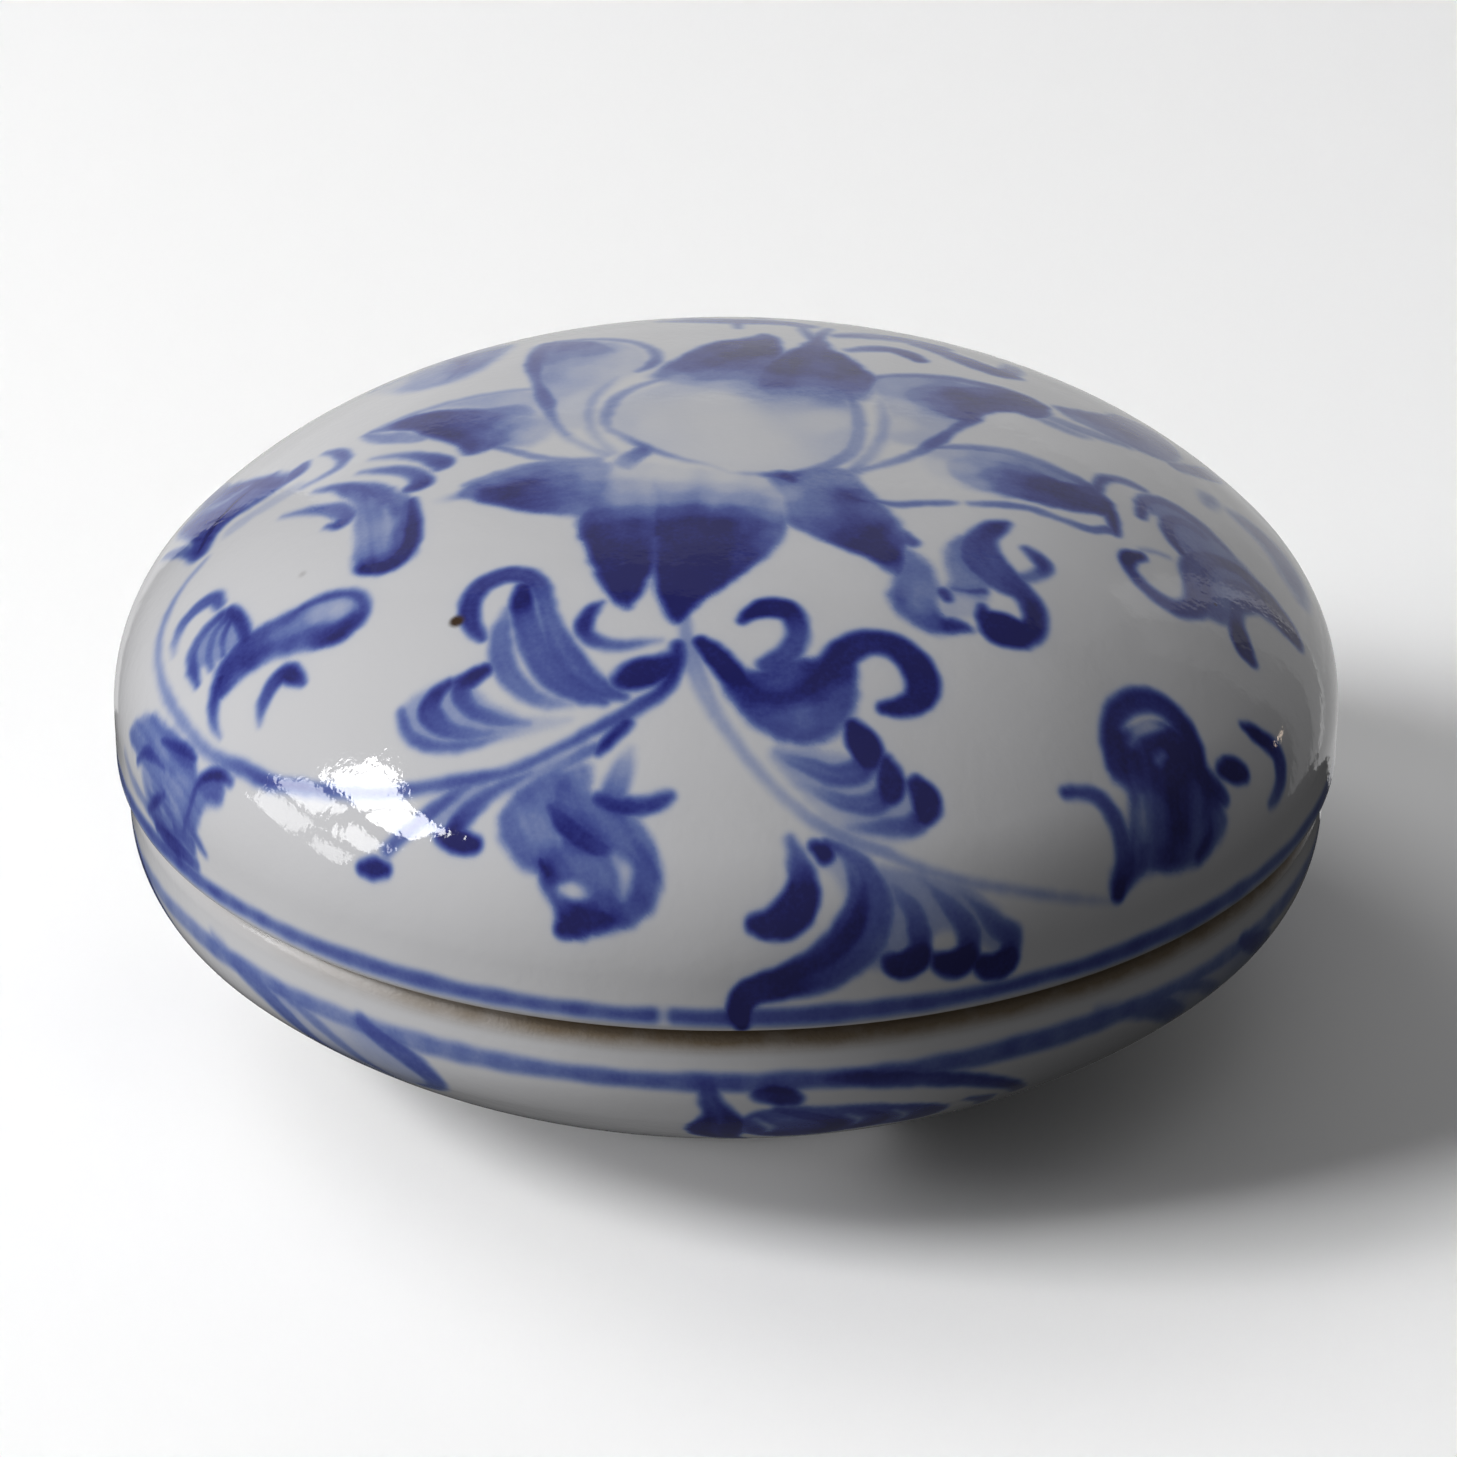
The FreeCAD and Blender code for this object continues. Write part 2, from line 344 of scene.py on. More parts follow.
def left_petals(m):
    """The two petals on the left, with the leaflet between them."""
    # narrow petal that points left
    m.wash([(-21.2, -10.2), (-20.4, -8.6), (-18.4, -7.2), (-15.4, -6.2), (-12, -6.4), (-9, -7), (-9, -9),
            (-9.4, -12.5), (-10.8, -15.6), (-12.6, -15), (-15.2, -14.1), (-17.9, -12.5), (-19.8, -11.3)],
           (-20.4, -9.9, 0.4), (-18.8, -10, 0.84), (-17, -10.4, 0.92), (-15.4, -9.4, 0.84),
           (-14.6, -11, 0.7), (-14, -13, 0.7), (-16.5, -12.2, 0.78), (-12.6, -9.5, 0.48), (-12, -12, 0.5),
           (-12.3, -14, 0.48), (-10.4, -11, 0.3), (-10.4, -9, 0.24), (-11, -14.8, 0.36), (-18.6, -8.2, 0.4),
           (-16, -7.4, 0.4), (-13, -7.2, 0.32), (-10.6, -7.4, 0.22), (-14, -8.2, 0.5), brush=8)
    m.stroke((-22.6, -10.4, 0.9, 0.05), (-21, -10.2, 1.2, 0.24))
    m.stroke((-20.6, -8.5, 0.9, 0.3), (-18, -7.2, 1, 0.3), (-15, -6.3, 1.1, 0.32), (-12.4, -6.6, 1.4, 0.26),
             (-10.2, -7, 1.3, 0.2), edge=0.45)
    m.wash([(-9, -7.2), (-8.2, -5.6), (-6.6, -4), (-5.8, -5), (-6.6, -6.8), (-7.6, -8.4)],
           (-7.4, -6.4, 0.4), (-6.4, -5, 0.5), (-8.6, -6.8, 0.22), (-7.4, -7.8, 0.2), edge=0.6)
    # petal behind it, with its leaflet
    m.wash([(-29.4, 5.5), (-27, 6.6), (-24.5, 7), (-22, 6.7), (-19.5, 6), (-16.6, 6), (-15.2, 3.4),
            (-15.6, 0), (-18, -2), (-20.6, -3.1), (-21.6, -1.2), (-22.8, 0.3), (-24.4, 2), (-25.9, 3.8),
            (-27.6, 4.7)],
           (-28.5, 5.5, 0.42), (-26, 5.6, 0.78), (-24, 5.2, 0.84), (-24, 3.5, 0.88), (-21, 5, 0.72),
           (-19, 4, 0.6), (-17.2, 4.6, 0.32), (-16.4, 2.4, 0.14), (-18.5, 0, 0.5), (-20.5, -1.5, 0.84),
           (-22, 1, 0.88), (-20, 2, 0.62), (-17.6, 1.6, 0.32), (-16.6, 0, 0.16), (-19.2, -1.8, 0.5),
           (-18.4, 5.6, 0.36), brush=-42)
    m.stroke((-29.4, 5.6, 0.6, 0.2), (-27, 6.8, 0.9, 0.26), (-24, 8, 1, 0.24), (-21, 8.9, 1, 0.22),
             (-18, 9.3, 1, 0.21), (-15.4, 9.2, 0.9, 0.18), edge=0.5)
    m.stroke((-19.4, -1.4, 1, 0.4), (-17.1, -3.3, 1, 0.32), (-14.9, -5, 1, 0.28), (-12.4, -6, 1, 0.26),
             (-10.2, -6.3, 1.2, 0.22), edge=0.45)
    m.stroke((-13.2, -0.5, 1, 0.18), (-12.4, -2.2, 0.9, 0.15), (-11, -3.9, 1, 0.15),
             (-9.6, -5.4, 1.2, 0.17), edge=0.5)
    m.stroke((-29.6, 5.2, 0.9, 0.36), (-28.4, 3.8, 1.7, 0.34), (-26.6, 2.6, 2.2, 0.32),
             (-24.8, 1.6, 1.6, 0.26))


def back_petals(m):
    """The four petals behind the disc."""
    # left of the centre
    m.wash([(-16.3, 20.5), (-15.4, 22.4), (-12.5, 22), (-10, 20), (-8.6, 16), (-9, 12), (-11, 9),
            (-14.8, 9), (-16.2, 15)],
           (-15.2, 20.5, 0.5), (-13, 20, 0.54), (-11.4, 18, 0.38), (-9.6, 15.5, 0.12), (-14, 17, 0.36),
           (-14, 13.5, 0.2), (-11.5, 12.5, 0.1), (-15.5, 17, 0.5), (-12.4, 15.4, 0.22), (-13, 10.4, 0.12),
           edge=0.7, brush=82)
    m.stroke((-15.2, 22, 1.3, 0.4), (-15.8, 18, 1.7, 0.56), (-15.9, 14.5, 1.5, 0.52),
             (-15.5, 11, 1.1, 0.44), (-15.1, 8.4, 1.4, 0.52), (-14.6, 6, 1.5, 0.52),
             (-14.3, 3.8, 1.2, 0.36), (-13.7, 1.2, 1, 0.26), (-12.8, -1.2, 0.9, 0.2), edge=0.45)
    m.stroke((-14.4, 22.4, 0.9, 0.34), (-11, 21.8, 1, 0.3), (-8.2, 20.4, 1, 0.28), (-6.5, 18.2, 1.1, 0.32),
             (-5.8, 15.4, 1.2, 0.38), (-6.3, 13, 1.2, 0.42), (-7.2, 11.8, 0.9, 0.28), edge=0.5)
    # the two dark ones behind the disc
    m.wash([(-6, 10), (-5.4, 12.5), (-4, 14.8), (-2.6, 17.4), (-0.5, 19.6), (1.6, 20.6), (3.2, 22.2),
            (4.3, 21), (4.6, 18.5), (4.6, 15), (4, 12), (1.6, 10), (-1.5, 8.8), (-4, 9)],
           (-5, 11, 0.44), (-3.2, 12.5, 0.66), (-1, 13.5, 0.8), (0.6, 15.5, 0.95), (2.2, 17, 0.97),
           (3.4, 19.5, 0.88), (0, 18, 0.8), (-2, 15.5, 0.68), (1, 12.4, 0.6), (3, 21.5, 0.6),
           (-1.5, 10.2, 0.4), (-4, 9.8, 0.24), (3.4, 13.6, 0.6), (1.4, 10.6, 0.3), edge=0.7, brush=52)
    m.wash([(2.4, 8), (2.8, 12), (4, 14.8), (5.2, 17), (6.2, 18.4), (6.8, 20), (7.6, 21.4), (8.4, 20.4),
            (8.9, 18), (10.3, 15.8), (11.4, 13.2), (12.3, 10.8), (11.8, 8), (10.8, 5), (8.6, 4.4), (7, 5.4),
            (5.4, 4), (3.6, 5)],
           (3.2, 10, 0.6), (4.6, 11.5, 0.9), (5.5, 13.5, 0.9), (6.4, 16.5, 0.78), (7.4, 12.6, 0.66),
           (7.6, 19.5, 0.7), (9.4, 15.5, 0.9), (10, 12.5, 0.9), (11, 10.5, 0.72), (8.8, 11, 0.84),
           (4.2, 8.6, 0.7), (7, 9.2, 0.5), (9.8, 8.6, 0.62), (4.4, 6.4, 0.34), (7, 6.6, 0.16),
           (10.2, 6.2, 0.4), (4.4, 4.6, 0.1), (9.6, 4.8, 0.14), edge=0.7, brush=86)
    m.stroke((7.7, 21, 1.1, 0.6), (8.2, 23, 1, 0.5), (8.8, 25.4, 0.9, 0.4))
    m.stroke((7.4, 20.5, 1, 0.5), (6.8, 23, 1, 0.42), (6.4, 25.5, 1, 0.36))
    # right of the centre
    m.wash([(14.4, 8.4), (16.4, 10.4), (19, 11), (21.5, 11.6), (24, 11.6), (26, 10.2), (26.8, 8),
            (25.4, 6.2), (23.4, 6.6), (21.6, 5.6), (20.6, 4.2), (19.6, 3), (18.2, 3.4), (16.8, 4.4),
            (15, 6)],
           (15.4, 8, 0.34), (17, 7, 0.58), (18.6, 8.4, 0.86), (20.5, 8.2, 0.9), (22.5, 9, 0.84),
           (24.5, 9.6, 0.82), (26, 8, 0.72), (19.6, 6, 0.82), (19.8, 4.2, 0.66), (17.6, 5.4, 0.5),
           (22, 7, 0.8), (16.4, 9.6, 0.4), (21, 10.8, 0.6), (16, 5.6, 0.3), edge=0.6, brush=20)
    m.stroke((11.8, 10.6, 0.9, 0.42), (13.2, 11.6, 1.1, 0.34), (15.5, 12.4, 1.3, 0.38),
             (18, 12.7, 1.4, 0.42), (20.5, 12.4, 1.4, 0.46), (22.8, 11.8, 1.5, 0.6), (24.6, 10.9, 1.5, 0.7),
             (26, 9.4, 1.5, 0.7), edge=0.5)
    m.stroke((20, 3.8, 1.5, 0.58), (18.9, 2, 1.2, 0.5), (17.8, 0.1, 1.2, 0.52), (16.9, -1.6, 1.6, 0.54),
             (15.5, -3.8, 1.2, 0.38), (13.4, -6, 1.1, 0.28), (11.4, -7.5, 1, 0.24), (9.6, -8.3, 1, 0.22),
             edge=0.45)
    m.stroke((25.2, 6.4, 0.8, 0.3), (26.8, 5.6, 1.3, 0.3), (28.6, 4.8, 1.3, 0.27), (29.8, 4.9, 0.9, 0.2))


def right_petals(m):
    """The long petal on the right and the short one in front of it."""
    # long petal
    m.wash([(18, -4.4), (21, -3.6), (24.6, -4.2), (27, -5.4), (29.6, -5), (31, -6.6), (31.1, -8.6),
            (29.4, -9.5), (27, -10.1), (25, -10.1), (22.2, -9.8), (19.4, -9.2), (17.6, -6.8)],
           (19.2, -6, 0.14), (21.2, -6.6, 0.4), (22.8, -6.4, 0.64), (22.4, -8.6, 0.52), (24.6, -7, 0.86),
           (26.6, -7.4, 0.9), (28.8, -7.4, 0.84), (30.2, -7.6, 0.8), (25, -9.4, 0.72), (29.4, -6, 0.66),
           (20.6, -4.6, 0.24), (23.6, -4.8, 0.42), (20, -8.4, 0.2), edge=0.6, brush=-8)
    m.stroke((16.6, -2.8, 0.8, 0.4), (18, -2.4, 1.1, 0.34), (20, -2, 1.3, 0.32), (22.6, -2, 1.4, 0.3),
             (25, -2.9, 1.5, 0.32), (27.4, -4.2, 1.5, 0.38), (29.2, -5.2, 1.4, 0.52), edge=0.5)
    m.stroke((11.6, -12.9, 0.8, 0.44), (13.2, -13.2, 1, 0.38), (15.4, -12.7, 1, 0.36),
             (17.8, -12.1, 0.8, 0.28), (18.6, -11.95, 0.3, 0.08), edge=0.4)
    m.stroke((19.3, -11.9, 0.9, 0.3), (21.6, -11.4, 1.1, 0.38), (24.1, -11.2, 1.1, 0.36),
             (26.6, -11.8, 1, 0.34), (29.1, -12, 1, 0.4), (30.5, -11.3, 1.1, 0.5), edge=0.4)
    # short petal from the knot under the disc
    m.wash([(3.3, -9.7), (4.3, -13.2), (4.8, -17.2), (6.4, -18.4), (8.6, -20), (10.6, -21.2), (12.2, -22.6),
            (13.4, -23.5), (13.9, -22), (13.8, -20), (14.2, -18.4), (13.4, -15.6), (12, -12.8),
            (10.8, -10.4), (10, -8.4), (8, -7.8), (5.8, -8.6), (4.4, -9.1)],
           (4.2, -10, 0.36), (4.8, -12.5, 0.22), (5.2, -15, 0.38), (5.6, -17, 0.5), (7, -10, 0.34),
           (7.2, -12.6, 0.4), (7.6, -15, 0.44), (7.8, -17.4, 0.56), (9.6, -12.6, 0.74), (9.6, -9.6, 0.36),
           (10, -15.5, 0.66), (11.8, -14.6, 0.54), (9.4, -18.2, 0.82), (11, -19.5, 1), (12, -17.5, 0.93),
           (13.4, -17.2, 0.52), (12.2, -21.4, 0.93), (13.2, -22.6, 0.6), (6, -8.9, 0.4), (11.4, -12.6, 0.5),
           brush=-58)
    m.stroke((3.2, -9.5, 0.9, 0.3), (4.6, -9.6, 1.5, 0.72), (5.2, -10.2, 1.3, 0.66))
    m.stroke((13.9, -17.6, 0.9, 0.46), (14.4, -18.8, 1.3, 0.56))
    m.stroke((9, -12.2, 1, 0.6), (10.2, -12.9, 1.2, 0.7), (11.4, -13.2, 0.8, 0.6))


def petal_scroll(m):
    """The curling leaf at the tip of the short petal."""
    m.wash([(13.7, -19.5), (15.2, -20.4), (16.3, -23.2), (16.6, -25), (16.4, -26.4), (17, -27.4),
            (18.6, -27.6), (19, -28.4), (17.8, -29), (16, -29.4), (14.6, -28.9), (13.2, -27.7),
            (12.5, -26.2), (12.8, -24.2), (13.4, -22.4)],
           (14.4, -20.5, 0.34), (14.8, -23, 0.36), (15.8, -24.5, 0.32), (13.2, -26, 0.48),
           (14.8, -26.5, 0.34), (14.4, -28.2, 0.46), (16, -28.6, 0.48), (17.4, -28.3, 0.76),
           (18.4, -28, 0.66), rim=0.15)
    m.wash([(16.6, -27), (17.2, -23), (17, -19.4), (18.4, -16.8), (20, -18), (20.4, -21), (20.4, -24),
            (19, -27)],
           (17.8, -26, 0.14), (18.2, -23, 0.36), (18.2, -20, 0.36), (19.4, -18.4, 0.4), (19.4, -23, 0.36),
           (18.6, -26, 0.12), edge=0.6)
    m.stroke((16.8, -24.7, 1.1, 0.68), (17.1, -25.3, 1, 0.68))
    m.stroke((17.6, -24, 0.8, 0.45), (18.8, -24, 0.9, 0.6), (19.9, -23.7, 1, 0.7))
    m.stroke((22, -14.2, 1, 0.65), (21.2, -15, 1.9, 0.82), (20.1, -16.6, 2.4, 0.66),
             (19.8, -18.6, 3.4, 0.58), (20.4, -20.4, 3.8, 0.58), (21.6, -21.8, 3.2, 0.62),
             (23, -22.8, 2.3, 0.7), (24, -24.4, 2.1, 0.8), (24, -26.4, 2.2, 0.84), (22.9, -27.8, 2.4, 0.9),
             (21.2, -28, 2.3, 0.95), (20.2, -26.9, 1.7, 0.95), (19.9, -25.6, 0.9, 0.7))
    m.stroke((20.9, -26.6, 1.8, 0.97), (21.7, -27, 2.6, 1), (22.8, -27.2, 1.8, 0.95))
    m.stroke((23.5, -17.2, 0.8, 0.55), (24.5, -18.2, 1.5, 0.74), (24.9, -19.2, 1.5, 0.7),
             (24.2, -20.4, 1.4, 0.42), (23, -21.2, 1.4, 0.4))


def left_spray(m):
    """Leaves that hang from the left petals."""
    m.stroke((-28.6, -0.4, 0.8, 0.2), (-26.6, -1, 1.2, 0.3), (-24.9, -1.9, 1.5, 0.45),
             (-23.5, -3, 1.9, 0.58), (-22.7, -4.1, 1.9, 0.66), (-23, -4.9, 1, 0.5))
    m.stroke((-29.6, -2.4, 0.8, 0.25), (-27.4, -3.3, 1.3, 0.42), (-25.6, -4.4, 1.6, 0.46),
             (-24.5, -5.8, 1.8, 0.54), (-24.3, -7, 2, 0.7), (-25.2, -7.6, 1.2, 0.6))
    m.wash([(-31.6, -4.2), (-28.6, -4.8), (-26, -7.6), (-24.8, -9.6), (-24.2, -12.5), (-24.1, -15.5),
            (-24.6, -17.8), (-26, -19), (-27.8, -18.8), (-29.2, -17.8), (-29.5, -16), (-29.6, -12),
            (-29.8, -9), (-30.4, -6.6)],
           (-30.5, -5, 0.5), (-28.6, -6.4, 0.5), (-29, -9, 0.4), (-28.8, -13, 0.38), (-28.5, -15.5, 0.42),
           (-27.2, -9.5, 0.48), (-26.8, -12.5, 0.32), (-26.9, -15.5, 0.38), (-25.6, -10.5, 0.62),
           (-25, -13, 0.74), (-25.2, -16, 0.7), (-26, -18, 0.7), (-28.2, -17.2, 0.82), (-27.4, -18, 0.72),
           (-25.2, -8.6, 0.48), brush=-84, streak=0.16)
    m.stroke((-25, -9.6, 1, 0.66), (-24.7, -13, 1.5, 0.8), (-25.1, -16.6, 1.8, 0.9), (-26.6, -18.1, 1.8, 1),
             (-28.5, -17.6, 1.4, 1))
    m.lift((-27.2, -9.4, 0.5, 0.3), (-26.8, -12.6, 0.9, 0.24), (-26.9, -15.6, 0.5, 0.34))
    m.lift((-29, -9.6, 0.3, 0.34), (-28.6, -12.6, 0.6, 0.28), (-28.6, -15, 0.4, 0.36))
    m.stroke((-33.4, -3, 0.8, 0.3), (-31.6, -3.8, 1.2, 0.5), (-29.8, -5, 1.4, 0.52), (-28.2, -7, 1.2, 0.5),
             (-27.4, -9, 0.8, 0.46))
    m.stroke((-36.2, -5, 0.7, 0.25), (-34.4, -5.8, 1.2, 0.36), (-32.6, -6.7, 1.6, 0.42), (-31, -8, 2, 0.48),
             (-30.4, -9.4, 1.8, 0.56), (-31, -10.2, 1.4, 0.66), (-31.9, -9.9, 0.8, 0.5))


def left_leaf(m):
    """The lone leaf with its comma, left of the flower."""
    m.stroke((-46.8, -15.6, 0.6, 0.15), (-46.6, -13.8, 1.2, 0.3), (-45.6, -12.2, 1.6, 0.42),
             (-44, -11.6, 1.8, 0.48), (-42.5, -12, 1.6, 0.56), (-41.9, -13.4, 1.2, 0.5))
    m.wash([(-44.8, -19), (-44.4, -16.4), (-42, -15), (-40.2, -15.8), (-39.2, -19.6), (-41.4, -20.4),
            (-43, -20.2)], 0.3)
    m.stroke((-44.3, -21.4, 0.8, 0.54), (-44.7, -19.2, 1.4, 0.56), (-44.6, -17.2, 1.5, 0.46),
             (-43.4, -15.7, 1.6, 0.46), (-41.8, -15, 1.4, 0.58))
    m.stroke((-42.8, -20.6, 0.8, 0.42), (-43, -18.6, 1.2, 0.46), (-42.4, -16.8, 1.2, 0.44),
             (-41, -15.6, 1.4, 0.64))
    m.stroke((-40.9, -15.2, 1.3, 0.7), (-40, -16.8, 1.5, 0.74), (-39.5, -18.6, 1.4, 0.72),
             (-39.2, -20, 1.4, 0.68))
    m.stroke((-41.5, -20, 0.9, 0.44), (-41.5, -18.2, 1.1, 0.5), (-40.8, -16.6, 1.2, 0.6))
    m.wash([(-42.8, -24.5), (-42.7, -22.4), (-41.6, -20.6), (-40, -19.6), (-37.5, -19.3), (-34, -19.2),
            (-31, -19.2), (-29.2, -20.6), (-28.8, -22.4), (-29, -24), (-30.2, -25.2), (-32.4, -25.1),
            (-34.8, -24.4), (-37.5, -23.9), (-40, -24.2), (-41.6, -24.8)],
           (-42, -23, 0.7), (-41, -22, 0.86), (-39, -22.6, 0.88), (-37.4, -22.4, 0.74), (-38, -20.2, 0.62),
           (-41, -20.8, 0.64), (-35.4, -20.1, 0.6), (-36.2, -21.3, 0.42), (-34.6, -21.6, 0.34),
           (-32.6, -21.4, 0.2), (-30.8, -21.8, 0.16), (-35, -22.8, 0.68), (-33, -23.4, 0.72),
           (-31.6, -24.4, 0.88), (-30, -24, 0.92), (-34, -24.2, 0.5), (-40, -24, 0.54), (-37, -23.8, 0.36),
           brush=12)
    m.stroke((-34.6, -19.8, 1.1, 0.58), (-32.6, -19.5, 1.1, 0.56), (-30.6, -19.8, 1.2, 0.54),
             (-29.1, -20.8, 1.3, 0.56), (-28.6, -22.2, 1.3, 0.56), (-29.1, -23.6, 1.6, 0.7),
             (-30.4, -24.1, 1.6, 0.84))
    m.stroke((-32.6, -24.2, 1, 0.7), (-31, -24.4, 1.7, 1), (-29.7, -23.6, 1.3, 0.9), edge=0.7)
    m.stroke((-41.8, -22.6, 1.4, 0.78), (-42.5, -24.2, 1.3, 0.6), (-42.8, -26, 1.1, 0.5),
             (-42.6, -27.6, 0.7, 0.4), (-42.3, -28.6, 0.4, 0.3))
    m.stroke((-38.3, -29.8, 0.4, 0.35), (-37.9, -28.2, 1.2, 0.55), (-36.9, -26.6, 1.6, 0.62),
             (-35.6, -26, 1.8, 0.82), (-34.8, -26.8, 1.6, 0.84), (-34.1, -27.8, 0.7, 0.7))


def left_edge_leaf(m):
    """The leaf at the far left edge."""
    m.wash([(-54.5, -17.2), (-52, -18.2), (-50, -19.8), (-48.6, -22), (-47, -25), (-45.4, -28),
            (-45.4, -30.4), (-43.6, -31.4), (-42.6, -32.8), (-43.4, -34), (-45.4, -33.2), (-47.4, -33.4),
            (-49, -34), (-51, -35), (-53, -33.6), (-55, -29), (-55.8, -25), (-54, -22)],
           (-52.5, -19.5, 0.5), (-50.5, -21.5, 0.5), (-52, -23, 0.38), (-54.6, -22, 0.18), (-50, -25, 0.42),
           (-47.4, -26.6, 0.62), (-49, -29, 0.4), (-52, -28.6, 0.5), (-54, -28.8, 0.66), (-53, -31.6, 0.64),
           (-50, -31, 0.42), (-47, -31, 0.5), (-44, -32.4, 0.55), (-51, -33.6, 0.5), brush=-68, streak=0.2)
    m.lift((-53.4, -22.6, 0.4, 0.3), (-53, -26, 0.7, 0.24), (-52, -30, 0.5, 0.34))
    m.lift((-50.6, -27, 0.4, 0.34), (-50, -29.6, 0.7, 0.26), (-49.6, -31, 0.4, 0.34))
    m.stroke((-54, -21, 1, 0.5), (-52.2, -22, 1.6, 0.62), (-50.8, -24, 1.4, 0.6), (-49.8, -26, 0.9, 0.5))
    m.stroke((-49.2, -23.4, 0.8, 0.6), (-48.2, -24.8, 1.3, 0.74), (-46.8, -26.6, 1.5, 0.76),
             (-45.6, -28.4, 1, 0.7))
    m.stroke((-55.4, -25.4, 1.2, 0.6), (-53.4, -26.4, 1.5, 0.7), (-51.2, -27.6, 1.2, 0.62))
    m.stroke((-55, -27.6, 1.4, 0.7), (-53.8, -30, 1.9, 0.72), (-52.2, -32.8, 1.8, 0.66),
             (-50.8, -35.2, 1.4, 0.5))
    m.stroke((-50.8, -32.2, 1, 0.5), (-48, -31.6, 1.2, 0.56), (-46, -30.8, 1.3, 0.66),
             (-44.6, -30.9, 1.2, 0.84), (-43, -31.8, 1.3, 0.84), (-42, -33, 1, 0.6))
    m.stroke((-49.4, -32, 1.4, 0.5), (-48.8, -33.8, 1.2, 0.46), (-48.4, -35.6, 0.8, 0.42))
    m.stroke((-57, -17, 1.2, 0.15), (-57, -20, 1.4, 0.22), (-56, -23.5, 1.2, 0.3), (-55.2, -26, 1.4, 0.4))


def left_back_leaf(m):
    """The leaf behind it, near the back."""
    m.wash([(-48.6, 9.5), (-46, 12.5), (-43, 11), (-41.4, 8.6), (-39.6, 6.6), (-37.4, 4.6), (-36.2, 2.4),
            (-37, 0.8), (-39, 0.2), (-41.6, 0), (-43, -1.2), (-44, -3.4), (-45.2, -3.2), (-46.2, -1),
            (-46, 1.4), (-47, 4)],
           (-47.5, 10, 0.45), (-44, 10.5, 0.5), (-45.5, 7.5, 0.6), (-42, 7.6, 0.68), (-44, 4, 0.72),
           (-40.4, 5.4, 0.72), (-38.4, 2.8, 0.76), (-41.5, 2, 0.7), (-44, 0, 0.78), (-45, -2.4, 0.84),
           (-37.4, 3.6, 0.66), (-39, 0.8, 0.56), edge=0.8, brush=-50, streak=0.14)
    m.stroke((-38, 5, 0.8, 0.6), (-41, 4.2, 1.4, 0.84), (-43.6, 1.4, 1.6, 0.9), (-44.8, -2, 1.2, 0.9),
             edge=0.7)
    m.lift((-45.8, 9.4, 0.5, 0.34), (-43.4, 6.4, 0.9, 0.3), (-40.6, 6, 0.5, 0.4))
    m.stroke((-47.2, 18, 2, 0.35), (-45.6, 14.5, 2.6, 0.45), (-44.6, 11, 3, 0.5))
    m.stroke((-49.4, 4.6, 1, 0.3), (-48, 2.6, 1.4, 0.42), (-46.6, 0.6, 1.4, 0.5), (-45.6, -1.4, 1.2, 0.6))
    m.stroke((-36.6, 1.6, 1, 0.5), (-35.6, 2.6, 2, 0.6), (-35, 3.8, 1.2, 0.5))
    m.stroke((-33, 4.4, 0.9, 0.4), (-31.8, 3.2, 1.4, 0.56), (-31.2, 1.6, 1.3, 0.56),
             (-31.6, 0.2, 1.1, 0.46), (-33, -0.7, 1, 0.34), (-34.6, -1.1, 1, 0.28))
    m.wash([(-42, -1.6), (-38, -0.6), (-35, 0.2), (-34.4, -1), (-36, -1.8), (-39, -2.4), (-42, -3)],
           0.14, edge=0.6)


def main_stem(m):
    """Stem from the knot below the front petal, round the left of the lid."""
    m.stroke((-43.8, -4.6, 0.8, 0.2), (-46, -6.2, 1, 0.22), (-47.8, -8.8, 1.1, 0.25),
             (-48.7, -12.4, 1.1, 0.23), (-48.6, -16, 1.1, 0.23), (-47.9, -19.4, 1.2, 0.26),
             (-46.7, -23, 1.2, 0.28), (-45.4, -26, 1.2, 0.26), (-44.2, -28.4, 1.2, 0.3),
             (-42.4, -30.8, 1.2, 0.34), (-40.2, -33, 1.3, 0.5), (-38.2, -35.2, 1.2, 0.54),
             (-35.5, -37, 1.2, 0.5), (-31.5, -39.3, 1.2, 0.46), (-27.5, -40.9, 1.2, 0.45),
             (-24, -41.5, 1.2, 0.45), (-20, -41.9, 1.2, 0.48), (-16.8, -41.9, 1.1, 0.44),
             (-13.2, -40.8, 1.1, 0.44), (-9.6, -39.3, 1.2, 0.5), (-7.2, -38.1, 1.3, 0.54),
             (-4.8, -36.4, 1.4, 0.66), (-3.9, -34.4, 1.3, 0.74), (-3.7, -32.2, 1.1, 0.68))


